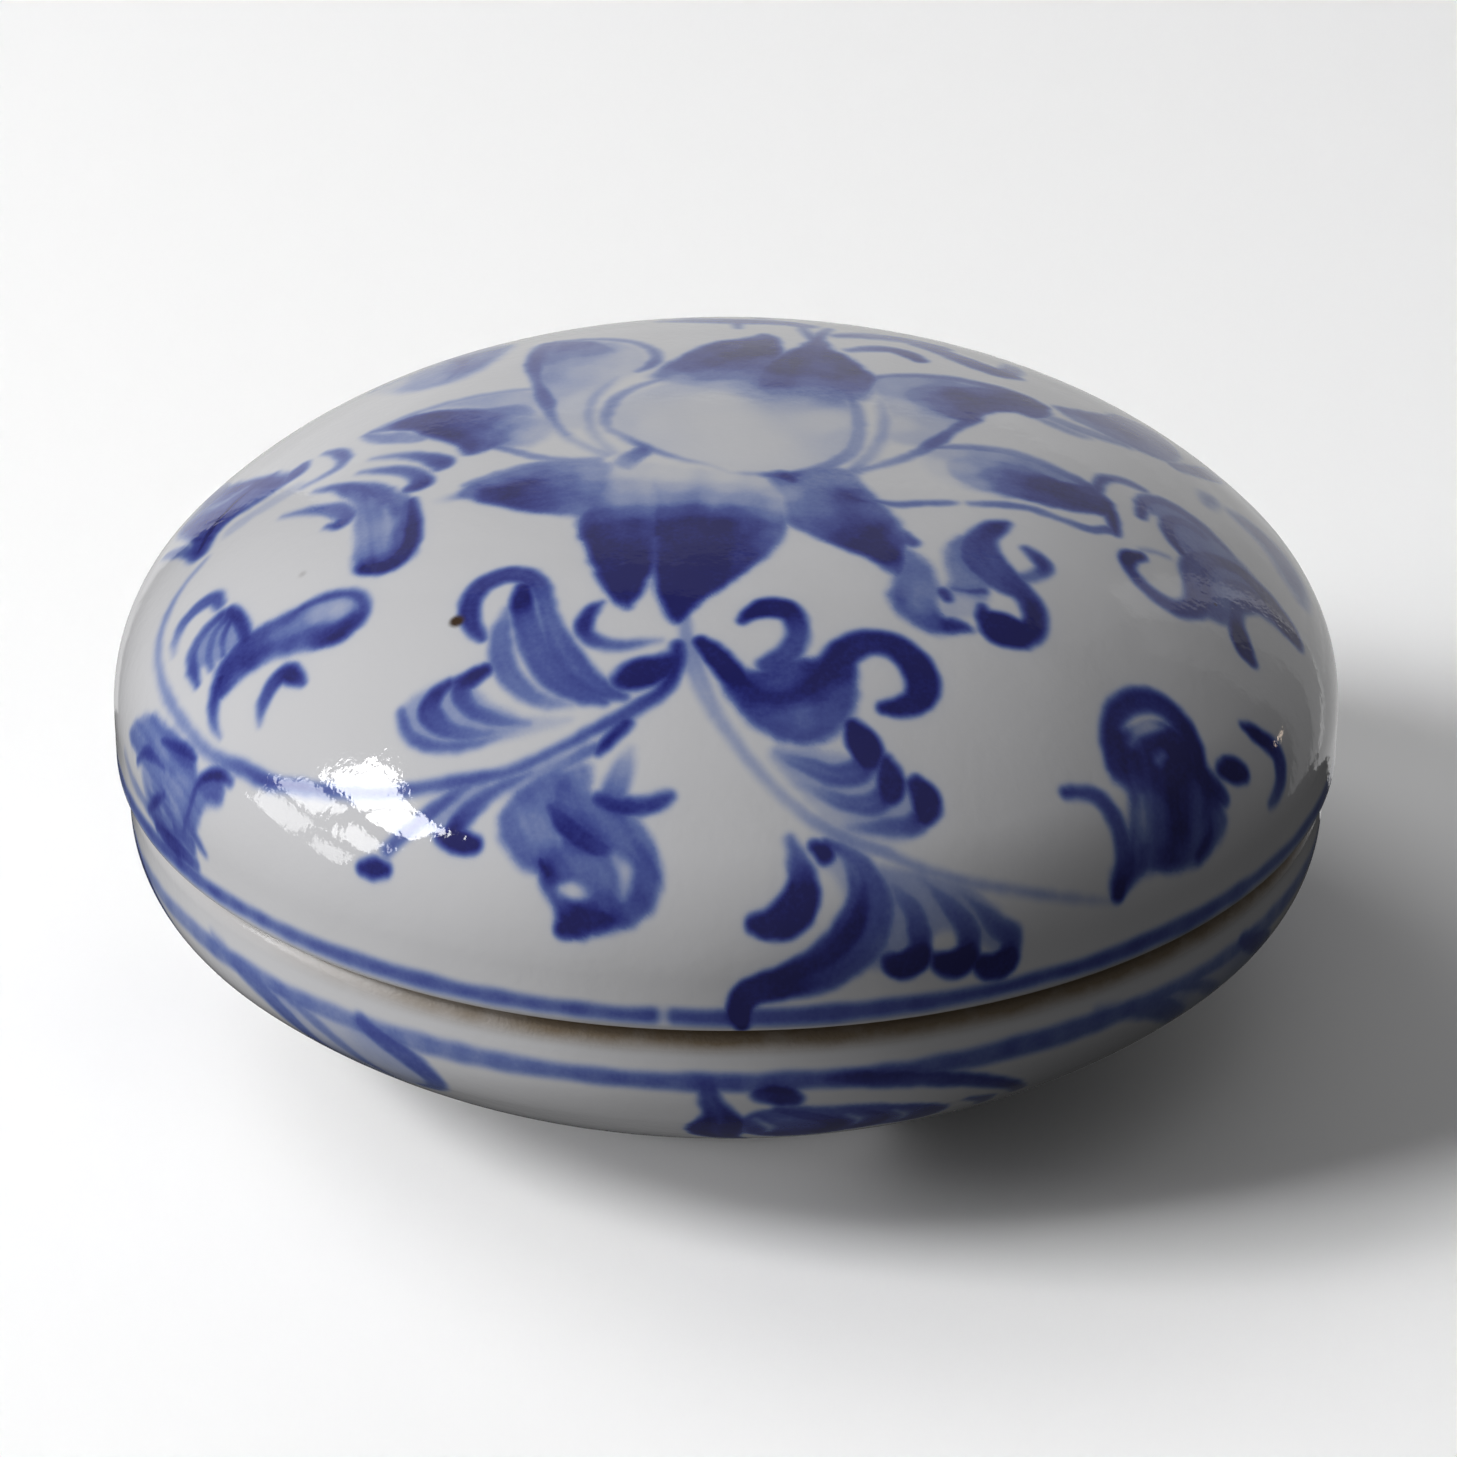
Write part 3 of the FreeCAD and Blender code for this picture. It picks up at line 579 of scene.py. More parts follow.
def left_scroll(m):
    """The scroll left of the knot, with the knot itself."""
    m.stroke((-18.9, -29.2, 0.8, 0.7), (-19.6, -27.8, 1.4, 0.74), (-19.9, -26, 1.7, 0.74),
             (-19.6, -24.4, 1.8, 0.7), (-18.6, -23.1, 1.9, 0.66), (-17, -22.5, 1.9, 0.66),
             (-15.4, -23, 1.9, 0.66), (-14.3, -24.6, 1.7, 0.58), (-13.9, -26.6, 1.6, 0.48),
             (-13.5, -28.8, 1.8, 0.44), (-12.9, -31, 2.4, 0.46), (-11.9, -33.2, 2.6, 0.48),
             (-10.6, -35.1, 2.3, 0.5), (-9.2, -36.2, 1.6, 0.56), (-7.8, -36.8, 0.8, 0.6))
    m.stroke((-15.6, -24.4, 1.4, 0.8), (-15.7, -26, 1.9, 0.9), (-15.5, -27.8, 2.2, 0.56),
             (-15, -30, 2.6, 0.48), (-14.2, -32.4, 2.6, 0.48), (-12.8, -34.8, 2.4, 0.48),
             (-11, -36.2, 1.9, 0.5), (-9.4, -37, 1, 0.5))
    m.stroke((-16.9, -26.6, 0.8, 0.28), (-17.3, -28.6, 1.6, 0.4), (-17.4, -30.8, 2, 0.44),
             (-16.8, -33.2, 1.9, 0.44), (-15.6, -35.2, 1.6, 0.42), (-13.8, -36.5, 1.2, 0.36),
             (-12, -37, 0.8, 0.22))
    m.stroke((-7.9, -35.3, 2, 0.86), (-7.2, -35, 2.6, 0.95), (-6.2, -34.7, 2.8, 0.97),
             (-4.9, -34.3, 2.3, 0.92), (-3.9, -33.4, 1.5, 0.8), (-3.6, -32.2, 0.9, 0.7), edge=0.7)
    m.stroke((-9.5, -27.1, 0.5, 0.5), (-10.4, -28, 1.2, 0.7), (-10.9, -29.3, 1.4, 0.74),
             (-10.6, -30.6, 1.4, 0.58), (-9.5, -31.5, 1.3, 0.48), (-8, -31.9, 1.2, 0.44),
             (-6.4, -31.8, 0.9, 0.36), (-5, -31.6, 0.5, 0.2))


def left_fan(m):
    """The fan of strokes under the left scroll, and the twigs below it."""
    m.wash([(-25.8, -34.6), (-24.6, -33.2), (-21.6, -32.6), (-19.6, -34), (-16.4, -37), (-12, -38.4),
            (-17, -39.2), (-22, -39), (-25, -37)],
           (-24, -35, 0.24), (-21, -36, 0.24), (-18, -38, 0.2), (-22.6, -38, 0.22), (-14, -38.4, 0.14),
           edge=0.6)
    m.stroke((-25.6, -34.4, 1, 0.42), (-25.2, -36.2, 1.2, 0.46), (-24.1, -37.6, 1.3, 0.48),
             (-22.2, -38.5, 1.2, 0.44), (-20, -38.9, 1, 0.36), (-17.6, -38.8, 0.7, 0.26))
    m.stroke((-21.6, -33, 1, 0.8), (-22.8, -33.8, 1.7, 0.8), (-23.3, -35, 2.1, 0.62),
             (-22.6, -36.4, 2, 0.54), (-20.8, -37.7, 1.5, 0.46), (-18.4, -38.3, 1, 0.34),
             (-16.6, -38.4, 0.6, 0.2))
    m.stroke((-18.8, -32.4, 1, 0.8), (-19.6, -32.8, 1.6, 0.86), (-20.7, -33.7, 1.7, 0.66),
             (-20.4, -35, 1.7, 0.54), (-19.2, -36.4, 1.6, 0.48), (-17.4, -37.5, 1.3, 0.4),
             (-15.4, -38.1, 0.9, 0.26))
    m.stroke((-21.6, -33.1, 0.9, 0.65), (-19.8, -32.9, 1.4, 0.9), (-18.7, -32.5, 1.3, 0.88))
    m.stroke((-9.9, -41.4, 0.8, 0.8), (-8.9, -40.4, 1.2, 0.95), (-7.7, -39.2, 1, 0.84))
    m.wash([(-11.6, -41.2), (-15, -42), (-20, -42.6), (-23, -43.4), (-24.4, -45), (-22.4, -45.6),
            (-19, -44.4), (-16, -43), (-12, -42.2)], 0.24, edge=0.5)
    m.stroke((-15.4, -42.4, 0.8, 0.34), (-18.2, -43.2, 1.3, 0.44), (-20.6, -44.4, 1.8, 0.56),
             (-22, -45.6, 1.7, 0.78))
    m.stroke((-23, -45.8, 1.2, 0.93), (-21.8, -46.5, 1.9, 1), (-20.4, -47.1, 1.4, 0.95))
    m.stroke((-20.5, -42.3, 0.9, 0.44), (-22.4, -43.1, 1.3, 0.54), (-25, -44.2, 1.3, 0.54),
             (-28, -45.4, 1.2, 0.54))
    m.stroke((-30.7, -45.8, 1, 0.88), (-29.6, -46.3, 1.6, 1), (-28.5, -46.8, 1.2, 0.95))


def bird_leaf(m):
    """The leaf shaped like a bird, on the left of the front."""
    m.stroke((-18, -43.8, 0.8, 0.16), (-15, -42.7, 1.2, 0.26), (-12.4, -42, 1.3, 0.34),
             (-10.2, -41, 1, 0.5))
    m.wash([(-18.3, -46.4), (-17.6, -44.6), (-15.6, -43.2), (-13, -42.4), (-12.2, -43.6), (-13.4, -46),
            (-13, -48.4), (-13.6, -50.2), (-15.4, -50.4), (-17.2, -49)],
           (-17.6, -46, 0.52), (-17, -48.4, 0.56), (-15.4, -43.8, 0.54), (-15.6, -46, 0.36),
           (-14.6, -47.4, 0.34), (-15.2, -49.2, 0.54), (-13.6, -44.4, 0.42), (-14, -49.6, 0.6), brush=-70,
           streak=0.1)
    m.stroke((-7.4, -41.6, 1, 0.16), (-8.2, -43.4, 2, 0.34), (-9, -45.2, 2.2, 0.48))
    m.wash([(-13.8, -43.6), (-11.8, -42.2), (-10.6, -42.4), (-10.4, -44.6), (-8.6, -45.6), (-7, -47.2),
            (-5.6, -49.6), (-5.2, -52), (-6, -54), (-8, -55.2), (-10.6, -55.5), (-14, -55.4),
            (-14.3, -54.2), (-14.4, -52.8), (-15.2, -51), (-14.8, -49.4), (-13.4, -48.2), (-13.9, -46)],
           (-12.8, -44, 0.5), (-11.2, -43.2, 0.38), (-12, -45.2, 0.46), (-10.4, -45.4, 0.42),
           (-13.2, -46, 0.64), (-12, -47.2, 0.66), (-11, -48.4, 0.72), (-9.6, -47.2, 0.48),
           (-8, -48.2, 0.5), (-7, -50.4, 0.6), (-6.2, -52, 0.58), (-7.4, -54, 0.66), (-10, -49.8, 0.52),
           (-11.6, -50.2, 0.46), (-13, -49.8, 0.52), (-14.4, -50.4, 0.86), (-14.4, -52, 0.6),
           (-10.2, -51.8, 0.5), (-9.8, -53.4, 0.68), (-12, -54.4, 1), (-10.6, -54.6, 0.95),
           (-13.4, -54.8, 0.97), (-8.8, -54.6, 0.78), brush=-58, streak=0.1)
    m.stroke((-13.8, -45.4, 1.2, 0.62), (-12.8, -47, 1.8, 0.76), (-11, -48.6, 2, 0.78),
             (-9.2, -49.6, 1.1, 0.64))
    m.stroke((-13.8, -54.7, 1.4, 0.97), (-12.4, -54.2, 1.8, 1), (-10.9, -54.3, 1.7, 1),
             (-9.4, -54.6, 1.1, 0.9))
    m.stroke((-14.9, -49.5, 1, 0.84), (-14.4, -50.5, 1.2, 0.86))
    m.stroke((-10, -45.3, 1.4, 0.66), (-8.4, -46, 1.6, 0.7), (-6.6, -46.2, 1.5, 0.68),
             (-5.2, -45.9, 1.5, 0.66), (-4.4, -45.5, 1, 0.6))
    m.lift((-8.9, -50, 0.9, 0.3), (-8.1, -51.2, 1.3, 0.14), (-8.4, -52.9, 0.9, 0.3))
    m.lift((-13.4, -51.8, 0.9, 0.12), (-12.4, -52.1, 1.4, 0.05), (-11.5, -52.5, 0.8, 0.2))


def right_scroll(m):
    """The scroll right of the knot."""
    m.wash([(0.5, -34.5), (2.5, -34.6), (4.2, -33.2), (5.8, -33.4), (7.4, -33), (8.4, -31.6), (9.8, -33),
            (10.1, -35.4), (10, -37.6), (9, -39.6), (7.2, -41), (5.2, -41.2), (2.8, -40.3), (0.8, -38.2),
            (-0.4, -36)],
           (1.5, -35, 0.62), (3, -35.4, 0.62), (5, -34.6, 0.6), (7, -33.6, 0.74), (2, -37.4, 0.68),
           (4, -37.8, 0.7), (6.6, -36.2, 0.84), (8.6, -34.6, 0.8), (9.4, -36.4, 0.6), (8.6, -38.6, 0.5),
           (6, -38.8, 0.46), (4, -39.2, 0.48), (2, -38.8, 0.56), (7, -40.4, 0.56), (0.2, -36.6, 0.66),
           (4.6, -40.6, 0.6), rim=0.1, brush=20)
    m.stroke((-1.9, -31.9, 1.2, 0.88), (-0.8, -33.3, 1.9, 0.95), (0.3, -34.9, 2.2, 0.9),
             (1.4, -36.4, 2.3, 0.74), (3, -37.2, 2, 0.68), (5, -37, 1.8, 0.72), (6.9, -35.7, 2.2, 0.78),
             (8.2, -33.9, 2.7, 0.78), (9.3, -32.2, 2.7, 0.78), (11, -31.2, 2.5, 0.8),
             (13, -31.3, 2.5, 0.84), (14.6, -32.8, 2.7, 0.9), (15.2, -34.6, 2.7, 1),
             (14.8, -36.1, 2.3, 0.97), (13.6, -36.9, 1.8, 0.93), (12.2, -37.3, 1.1, 0.86))
    m.stroke((1.2, -29.7, 0.8, 0.7), (2.2, -28.7, 1.6, 0.93), (3.6, -28.2, 2.2, 1), (4.9, -28.7, 2.1, 0.8),
             (5.4, -30.2, 1.9, 0.58), (5.3, -31.8, 2, 0.54), (4.5, -33.2, 2, 0.54), (3, -34.2, 1.5, 0.54))


def right_fan(m):
    """The fan of strokes under the right scroll."""
    m.wash([(3.4, -41.8), (9, -41.6), (12.6, -43), (16, -46), (14, -48), (9, -48), (6, -45.6)],
           (6, -43, 0.2), (10, -44.6, 0.2), (12, -46.6, 0.2), (14.6, -46, 0.2), (8, -46.4, 0.14), edge=0.7)
    m.stroke((11.1, -41.6, 2, 0.62), (10.3, -43, 2.3, 0.52), (8.6, -43.5, 2.2, 0.48),
             (6.8, -43.1, 1.8, 0.42), (5, -42.5, 1.3, 0.32), (3.8, -41.9, 0.8, 0.2))
    m.stroke((9.8, -39.2, 1.3, 0.9), (10.6, -40.5, 2.5, 1), (11.1, -41.8, 2.1, 0.97), (10.9, -42.6, 1, 0.8))
    m.stroke((12.9, -44.4, 1.9, 0.66), (11.6, -45.5, 2, 0.52), (9.8, -45.7, 1.7, 0.46),
             (8, -45.2, 1.4, 0.36), (6.2, -44.4, 1, 0.22))
    m.stroke((12.5, -41.9, 1.2, 0.9), (12.9, -43.2, 2.1, 1), (12.9, -44.4, 1.9, 0.97),
             (12.5, -45.1, 1, 0.8))
    m.stroke((15.8, -45.6, 1.8, 0.66), (14.8, -46.6, 1.8, 0.54), (13, -47.1, 1.6, 0.44),
             (11.4, -47.4, 1.3, 0.36), (9.8, -47.6, 0.9, 0.22))
    m.stroke((15, -43.4, 1.5, 0.9), (15.8, -44.4, 2.4, 1), (15.9, -45.5, 2, 0.97), (15.4, -46.2, 1, 0.8))


def right_stem(m):
    """The thin stem from the knot to the right."""
    m.stroke((-3.1, -29.6, 0.9, 0.28), (-3, -31.5, 1.2, 0.26), (-2.6, -33.6, 1.6, 0.24),
             (-1.9, -36, 1.5, 0.2), (-0.8, -38.6, 1.2, 0.2), (0.6, -41, 1, 0.2), (2.4, -43.4, 1, 0.2),
             (4.6, -45.6, 1, 0.2), (7, -47.4, 1.1, 0.24), (9.6, -48.5, 1.1, 0.3), (12.6, -49.1, 1, 0.28),
             (16, -49.9, 0.9, 0.25), (20, -50.1, 0.8, 0.23), (24, -49.7, 0.8, 0.26),
             (27.8, -49.1, 0.8, 0.25), (31, -48.3, 0.7, 0.2), (34, -47.4, 0.6, 0.14))


def frond(m):
    """The dark frond at the front, which crosses the line."""
    m.wash([(7, -49.4), (13, -50), (20, -50.4), (24, -52), (25.6, -55), (20, -54), (17, -55), (13, -58),
            (9, -52)],
           (9, -51.6, 0.16), (15, -52, 0.24), (18, -53.4, 0.24), (22, -53, 0.22), (14, -55.6, 0.24),
           edge=0.7)
    m.stroke((5.1, -48.9, 0.9, 0.36), (5.7, -50.4, 1.7, 0.48), (6.2, -52, 2.4, 0.74), (6, -53.6, 3.1, 1),
             (5, -54.8, 3, 1), (3.7, -55.3, 2.3, 1), (2.3, -55.3, 1.4, 0.97))
    m.stroke((7.1, -49.4, 1.1, 0.84), (7.9, -49.8, 1.5, 0.93))
    m.stroke((8, -49, 0.9, 0.54), (9.6, -49.6, 1.5, 0.42), (11, -51, 2.6, 0.46), (11.9, -53, 4, 0.5),
             (11.5, -55.2, 4.9, 0.54), (10, -57.2, 4.5, 0.6), (7.9, -58.8, 3.8, 0.68),
             (5.4, -59.8, 2.9, 0.88), (3.2, -60.4, 2.5, 1), (1.7, -61.2, 2.4, 1), (1.2, -62.3, 2.2, 1),
             (1.5, -63.5, 1.4, 0.95), streak=0.16)
    m.stroke((11.2, -51.6, 1, 0.66), (11.2, -53.4, 1.8, 0.84), (10.4, -55.6, 2.2, 0.86),
             (8.8, -57.4, 2.2, 0.86), (7, -58.6, 2, 0.88), (5, -59.6, 1.7, 0.95), edge=0.7)
    heads = ((16.9, -56.2, 13, -51), (21.4, -55.4, 16, -50.6), (25.5, -54.8, 19.4, -51))
    for x, y, from_x, from_y in heads:
        m.stroke((from_x, from_y, 0.8, 0.22),
                 ((3 * from_x + x) / 4 + 0.5, (3 * from_y + y) / 4 + 0.1, 1.5, 0.36),
                 ((from_x + x) / 2 + 0.9, (from_y + y) / 2 + 0.2, 2, 0.46),
                 (x - 0.5, y + 1.6, 2.2, 0.54), (x, y, 2, 0.7))
        m.stroke((x + 0.1, y + 0.5, 1.5, 0.86), (x - 0.1, y - 0.4, 2.4, 1.0), (x - 1.1, y - 1.1, 2.3, 1.0),
                 (x - 2.3, y - 1.2, 1.7, 0.97), (x - 3, y - 0.9, 0.9, 0.84))


def right_spray(m):
    """Scrolls beyond the long petal's tip."""
    m.wash([(33.6, -6.4), (34, -4.4), (35.2, -3.2), (37.2, -2.8), (39.4, -3.4), (42.6, -5.4), (45.6, -8),
            (42.8, -7.8), (40.6, -8.4), (39, -9.6), (37.4, -9.8), (36.2, -8.4), (35.4, -6)],
           (34.4, -5, 0.36), (37, -4.4, 0.34), (38, -7.4, 0.42), (41, -6.4, 0.34), (44, -7.4, 0.4),
           edge=0.8)
    m.wash([(38.6, -10), (40.4, -8.4), (43, -7.8), (46.6, -9.4), (49, -11.6), (47, -12), (44.8, -12),
            (43.2, -13.2), (42, -15.6), (40.4, -17), (38.2, -16.6), (37.8, -13.6)],
           (39.6, -10.6, 0.44), (42.6, -9.6, 0.4), (46, -10.6, 0.5), (41.4, -12.6, 0.36),
           (39.4, -15.6, 0.5), (43.4, -11.6, 0.32), edge=0.8)
    m.stroke((30.6, -7, 1.2, 0.6), (30.9, -8.8, 1.1, 0.66), (31.1, -10.4, 1, 0.72), (31.2, -11.4, 0.7, 0.6))
    m.stroke((29.9, -5.8, 0.9, 0.5), (30.1, -4, 1.1, 0.5), (30.9, -2.6, 1.2, 0.44), (32.4, -2, 1.2, 0.38),
             (34.2, -2.2, 0.9, 0.34))
    m.stroke((33.6, -7.2, 0.9, 0.68), (33.7, -5.8, 1.2, 0.62), (34.1, -4.2, 1.5, 0.5),
             (35.4, -3.1, 1.6, 0.46), (37.2, -3, 1.6, 0.48), (39.2, -3.7, 1.5, 0.5), (41, -4.8, 1.2, 0.5),
             (42.4, -5.7, 0.7, 0.4))
    m.stroke((37.2, -10, 0.9, 0.64), (36.4, -8.8, 1.4, 0.62), (36, -7.2, 1.6, 0.52),
             (36.4, -5.6, 1.8, 0.48), (37.8, -4.8, 1.8, 0.45), (39.6, -5.4, 1.4, 0.42), streak=0.02)
    m.stroke((33.3, -13.3, 1, 0.78), (32.2, -14.2, 1.5, 0.8), (32.2, -15.6, 1.3, 0.6),
             (33.4, -17.1, 1.4, 0.5), (35, -18, 1.6, 0.5), (36.8, -18, 1.9, 0.52), (38.2, -16.6, 2.4, 0.52),
             (38.6, -14.4, 3, 0.48), (38.4, -12, 3.2, 0.46), (39, -9.8, 2.8, 0.48), (40.6, -8.2, 2.2, 0.52),
             (42.8, -7.6, 2, 0.58), (45, -8.2, 2.2, 0.62), (46.9, -9.5, 2.6, 0.7), (48.4, -10.9, 2.4, 0.76),
             (49.3, -11.8, 1.2, 0.66), rim=0.2, streak=0.02)
    m.stroke((41.6, -10.6, 1.6, 0.45), (43.6, -9.8, 2, 0.5), (45.8, -10.4, 2, 0.55),
             (47.6, -11.4, 1.6, 0.66), streak=0.02)
    m.stroke((33.4, -12.4, 0.5, 0.2), (34.6, -11.9, 0.6, 0.24), (35.8, -11.7, 0.5, 0.2))
    m.stroke((46, -10.8, 1.6, 0.5), (44, -11.5, 1.9, 0.5), (42.6, -13, 1.9, 0.5), (42.2, -14.8, 1.7, 0.52),
             (42.5, -16.6, 1.9, 0.82), (43, -18, 2, 0.93), (43.9, -19, 1.2, 0.84), streak=0.02)


def dark_leaf(m):
    """The dark leaf on the right shoulder, with the commas above it."""
    m.stroke((43.4, -26.7, 0.7, 0.8), (44.6, -26.5, 1.4, 0.9), (46.2, -26.2, 1.6, 0.84),
             (47.8, -26.1, 1.9, 0.66), (49, -27.1, 2, 0.6), (49.3, -28.8, 1.6, 0.5), (48.8, -30.4, 1, 0.4))
    m.stroke((41.8, -32, 1.5, 0.84), (43, -31.3, 2.2, 0.95), (44.2, -30.8, 1.6, 0.9))
    m.stroke((27.4, -40.9, 0.9, 0.7), (28.6, -40.4, 1.2, 0.6), (30.2, -40.2, 1.4, 0.56),
             (31.8, -41.1, 1.6, 0.56), (33, -42.5, 1.8, 0.56), (33.8, -44.2, 1.8, 0.6),
             (34.2, -45.8, 1.9, 0.82), (34.4, -46.6, 1.4, 0.9))
    m.wash([(30.4, -34), (30.6, -36.6), (31.4, -38.2), (33, -38.8), (33.4, -40.6), (33.4, -43),
            (33.1, -45.6), (33.8, -46.8), (34.8, -46.7), (35.4, -45.4), (36.8, -43.8), (38.6, -42.8),
            (40.6, -41.8), (42.4, -40), (43.6, -37.8), (43.8, -35.6), (42.8, -34.9), (42.6, -33.6),
            (40.6, -33), (38.6, -31.4), (35.6, -31.2), (32.6, -33)],
           (31.4, -36, 0.82), (33, -36.4, 0.9), (34.8, -36, 0.86), (36.6, -33.8, 0.96), (38.2, -33.2, 1),
           (40.4, -34, 0.86), (42, -34.1, 0.7), (36.4, -36.6, 0.8), (38, -37.2, 0.74), (38.6, -39.2, 0.82),
           (35.6, -38.6, 0.58), (36.4, -40.4, 0.6), (35.8, -42.6, 0.64), (34.2, -44.4, 0.68),
           (34.3, -46.2, 0.93), (38.4, -41.8, 0.76), (40.2, -40.8, 0.64), (41.6, -38.6, 0.54),
           (42.4, -36.6, 0.5), (40.4, -36.6, 0.64), (33.6, -38.2, 0.62), (34.4, -40.6, 0.4),
           (34.2, -42, 0.5), edge=0.8, brush=-72, streak=0.16)
    m.stroke((36.6, -35, 1.6, 0.84), (37.6, -37.6, 2, 0.8), (38.2, -40.2, 1.6, 0.74), (37.6, -42, 1, 0.7),
             edge=0.7)
    m.stroke((41.2, -35.8, 1.2, 0.56), (42.2, -37.8, 1.6, 0.7), (41.8, -39.8, 1.5, 0.74), edge=0.7)
    m.stroke((31.4, -37, 1.6, 0.76), (30.9, -35, 1.8, 0.78), (31, -33, 2, 0.78), (31.9, -31.2, 2.2, 0.76),
             (33.4, -29.9, 2.3, 0.76), (35.2, -29.5, 2.3, 0.74), (36.9, -30.1, 2.3, 0.78),
             (38.2, -31.6, 2.4, 0.88), (38.8, -33, 2.5, 0.97), edge=0.6)
    m.stroke((38.6, -33.4, 2.4, 0.97), (40.2, -34, 2, 0.86), (41.6, -34.1, 1.8, 0.78),
             (42.8, -34.2, 1.2, 0.6))
    m.lift((32.8, -34.4, 0.7, 0.4), (33.3, -33, 1.1, 0.24), (34.4, -32, 1.1, 0.2), (35.4, -31.6, 0.7, 0.36))
    m.lift((35.4, -34.7, 0.9, 0.46), (35.8, -34, 0.8, 0.46))
    m.lift((34.2, -38.6, 0.6, 0.3), (34.8, -40.2, 0.8, 0.28), (35.3, -41.6, 0.4, 0.4))


def far_sprays(m):
    """Leaves beyond the flower, which lie near the edge as seen from the front."""
    m.stroke((10.4, 18.2, 1.2, 0.3), (12, 19, 1.7, 0.4), (13.8, 19.3, 1.8, 0.48), (15.2, 18.4, 1.8, 0.6),
             (16.2, 17, 1.4, 0.6), edge=0.5)
    m.stroke((16.2, 22.4, 1.6, 0.4), (18, 21.2, 2.2, 0.5), (19.6, 19.6, 2.6, 0.54), (21.4, 18, 2.8, 0.56),
             (23, 17, 2.6, 0.6), (24.2, 16.8, 1.6, 0.54), edge=0.6)
    m.stroke((24.4, 22, 1.6, 0.3), (24.2, 19.6, 2, 0.42), (23.6, 17.6, 2, 0.5), edge=0.6)
    m.stroke((-5, 28.6, 2, 0.25), (-2, 28, 3, 0.35), (1.2, 27.4, 3, 0.4), (4.4, 27.2, 2.6, 0.38),
             (7, 26, 1.8, 0.36), edge=0.7)
    m.stroke((1, 27, 1.2, 0.42), (1, 24.2, 0.9, 0.3))
    m.stroke((9.4, 22.6, 1.4, 0.34), (12, 23.6, 2.4, 0.36), (15, 23.8, 2.6, 0.38), (18, 22.8, 2.4, 0.4),
             edge=0.7)
    m.wash([(-31, 22), (-27, 27), (-22, 28), (-18.4, 25), (-19.4, 19), (-22, 14.4), (-25.6, 13.6),
            (-29, 17)],
           (-28, 23, 0.12), (-24, 25.6, 0.2), (-21, 22.6, 0.34), (-22, 18.4, 0.38), (-24.4, 15.8, 0.24),
           (-25.6, 20, 0.24), (-28.6, 19.4, 0.08), edge=1.1, brush=60)
    m.stroke((-23.4, 14.6, 0.8, 0.3), (-22.2, 18.4, 1.4, 0.42), (-22.6, 22.6, 1.8, 0.46),
             (-24.6, 27, 1.4, 0.4), (-28.2, 33, 1.1, 0.34), (-32.6, 37.6, 0.9, 0.3), edge=0.7)
    m.stroke((-30.4, 20.4, 0.7, 0.2), (-29.4, 24.4, 1, 0.3), (-26.6, 28.4, 1, 0.34), edge=0.6)
    m.wash([(27.2, 10.6), (29.4, 11.6), (31.6, 13.2), (33.6, 16), (37, 17.4), (38.8, 14), (38.6, 10),
            (37, 7), (34, 6.4), (31, 7.2), (28.4, 8.4)],
           (28.2, 10.2, 0.46), (30.4, 10.4, 0.58), (33.4, 11, 0.64), (35, 14, 0.5), (37, 12, 0.48),
           (36.4, 8.4, 0.42), (32, 8.2, 0.44), (29.4, 8.8, 0.34), edge=0.6, brush=30)
    m.stroke((26.4, 7.2, 1.4, 0.24), (29.6, 6.2, 1.8, 0.28), (33, 6.4, 1.6, 0.3), edge=0.6)
    m.stroke((38, 7, 1.8, 0.36), (39.6, 8.6, 2, 0.46), (41.4, 11, 2.2, 0.46), (43, 14.4, 2, 0.36), edge=0.5)
    m.stroke((43.6, 3.4, 1.8, 0.36), (45.4, 3.4, 3.4, 0.46), (47.4, 2.8, 4.4, 0.44), (48.8, 1, 4.4, 0.4),
             (49.6, -1.2, 3.6, 0.38), (50.2, -3.4, 2, 0.3), edge=1.1)
    m.stroke((40.4, 1.8, 1.4, 0.24), (40.8, 3.2, 2, 0.32), (41.2, 4.2, 1.2, 0.24), edge=0.9)


def hidden_side(m):
    """The back of the lid: leaves of the front and sides turned round the crown, and two arcs of stem."""
    for turn, leaves in ((178, (frond, bird_leaf, left_fan)), (-88, (left_edge_leaf,)), (88, (dark_leaf,))):
        m.place(turn=turn)
        for leaf in leaves:
            leaf(m)
    m.place()
    for side in (-1, 1):
        m.stroke((3 * side, 30, 1.3, 0.5), (5 * side, 35, 1.2, 0.46), (10 * side, 39.6, 1.1, 0.4),
                 (17 * side, 42, 1.1, 0.4), (25 * side, 41.4, 1.1, 0.4), (33 * side, 37.6, 1.1, 0.36),
                 (40 * side, 31, 1.1, 0.32), (45 * side, 22, 1.0, 0.28))
        for x, y in ((8.6, 38.4), (16, 41.6), (24.6, 41.6)):
            m.stroke((x * side, y, 0.8, 0.4), ((x + 1.2) * side, y - 3, 1.8, 0.46),
                     ((x + 3.6) * side, y - 5, 2.6, 0.6), ((x + 6.2) * side, y - 4.8, 2.1, 0.84),
                     ((x + 7.4) * side, y - 3.4, 1.2, 0.8))


LID_MAP_HALF = 67            # mm from the crown to the sides of the lid's map
# Parts of the lid's painting in their order, with the factor for their tones.
LID_LOADS = (
    (1, (flower_disc, petal_shades, front_petal, left_petals, back_petals, right_petals, petal_scroll,
         main_stem, left_scroll, right_scroll, right_fan, right_stem, frond, dark_leaf)),
    (1.2, (right_spray, far_sprays)),
    (0.93, (left_fan, bird_leaf)),
    (0.95, (left_spray, left_leaf)),
    (0.9, (left_edge_leaf, left_back_leaf)))


def paint_lid():
    m = PaintMap((-LID_MAP_HALF, -LID_MAP_HALF), (LID_MAP_HALF, LID_MAP_HALF), seed=3)
    for load, parts in LID_LOADS:
        m.place(fade=load)
        for part in parts:
            part(m)
    hidden_side(m)
    m.fire()
    return m


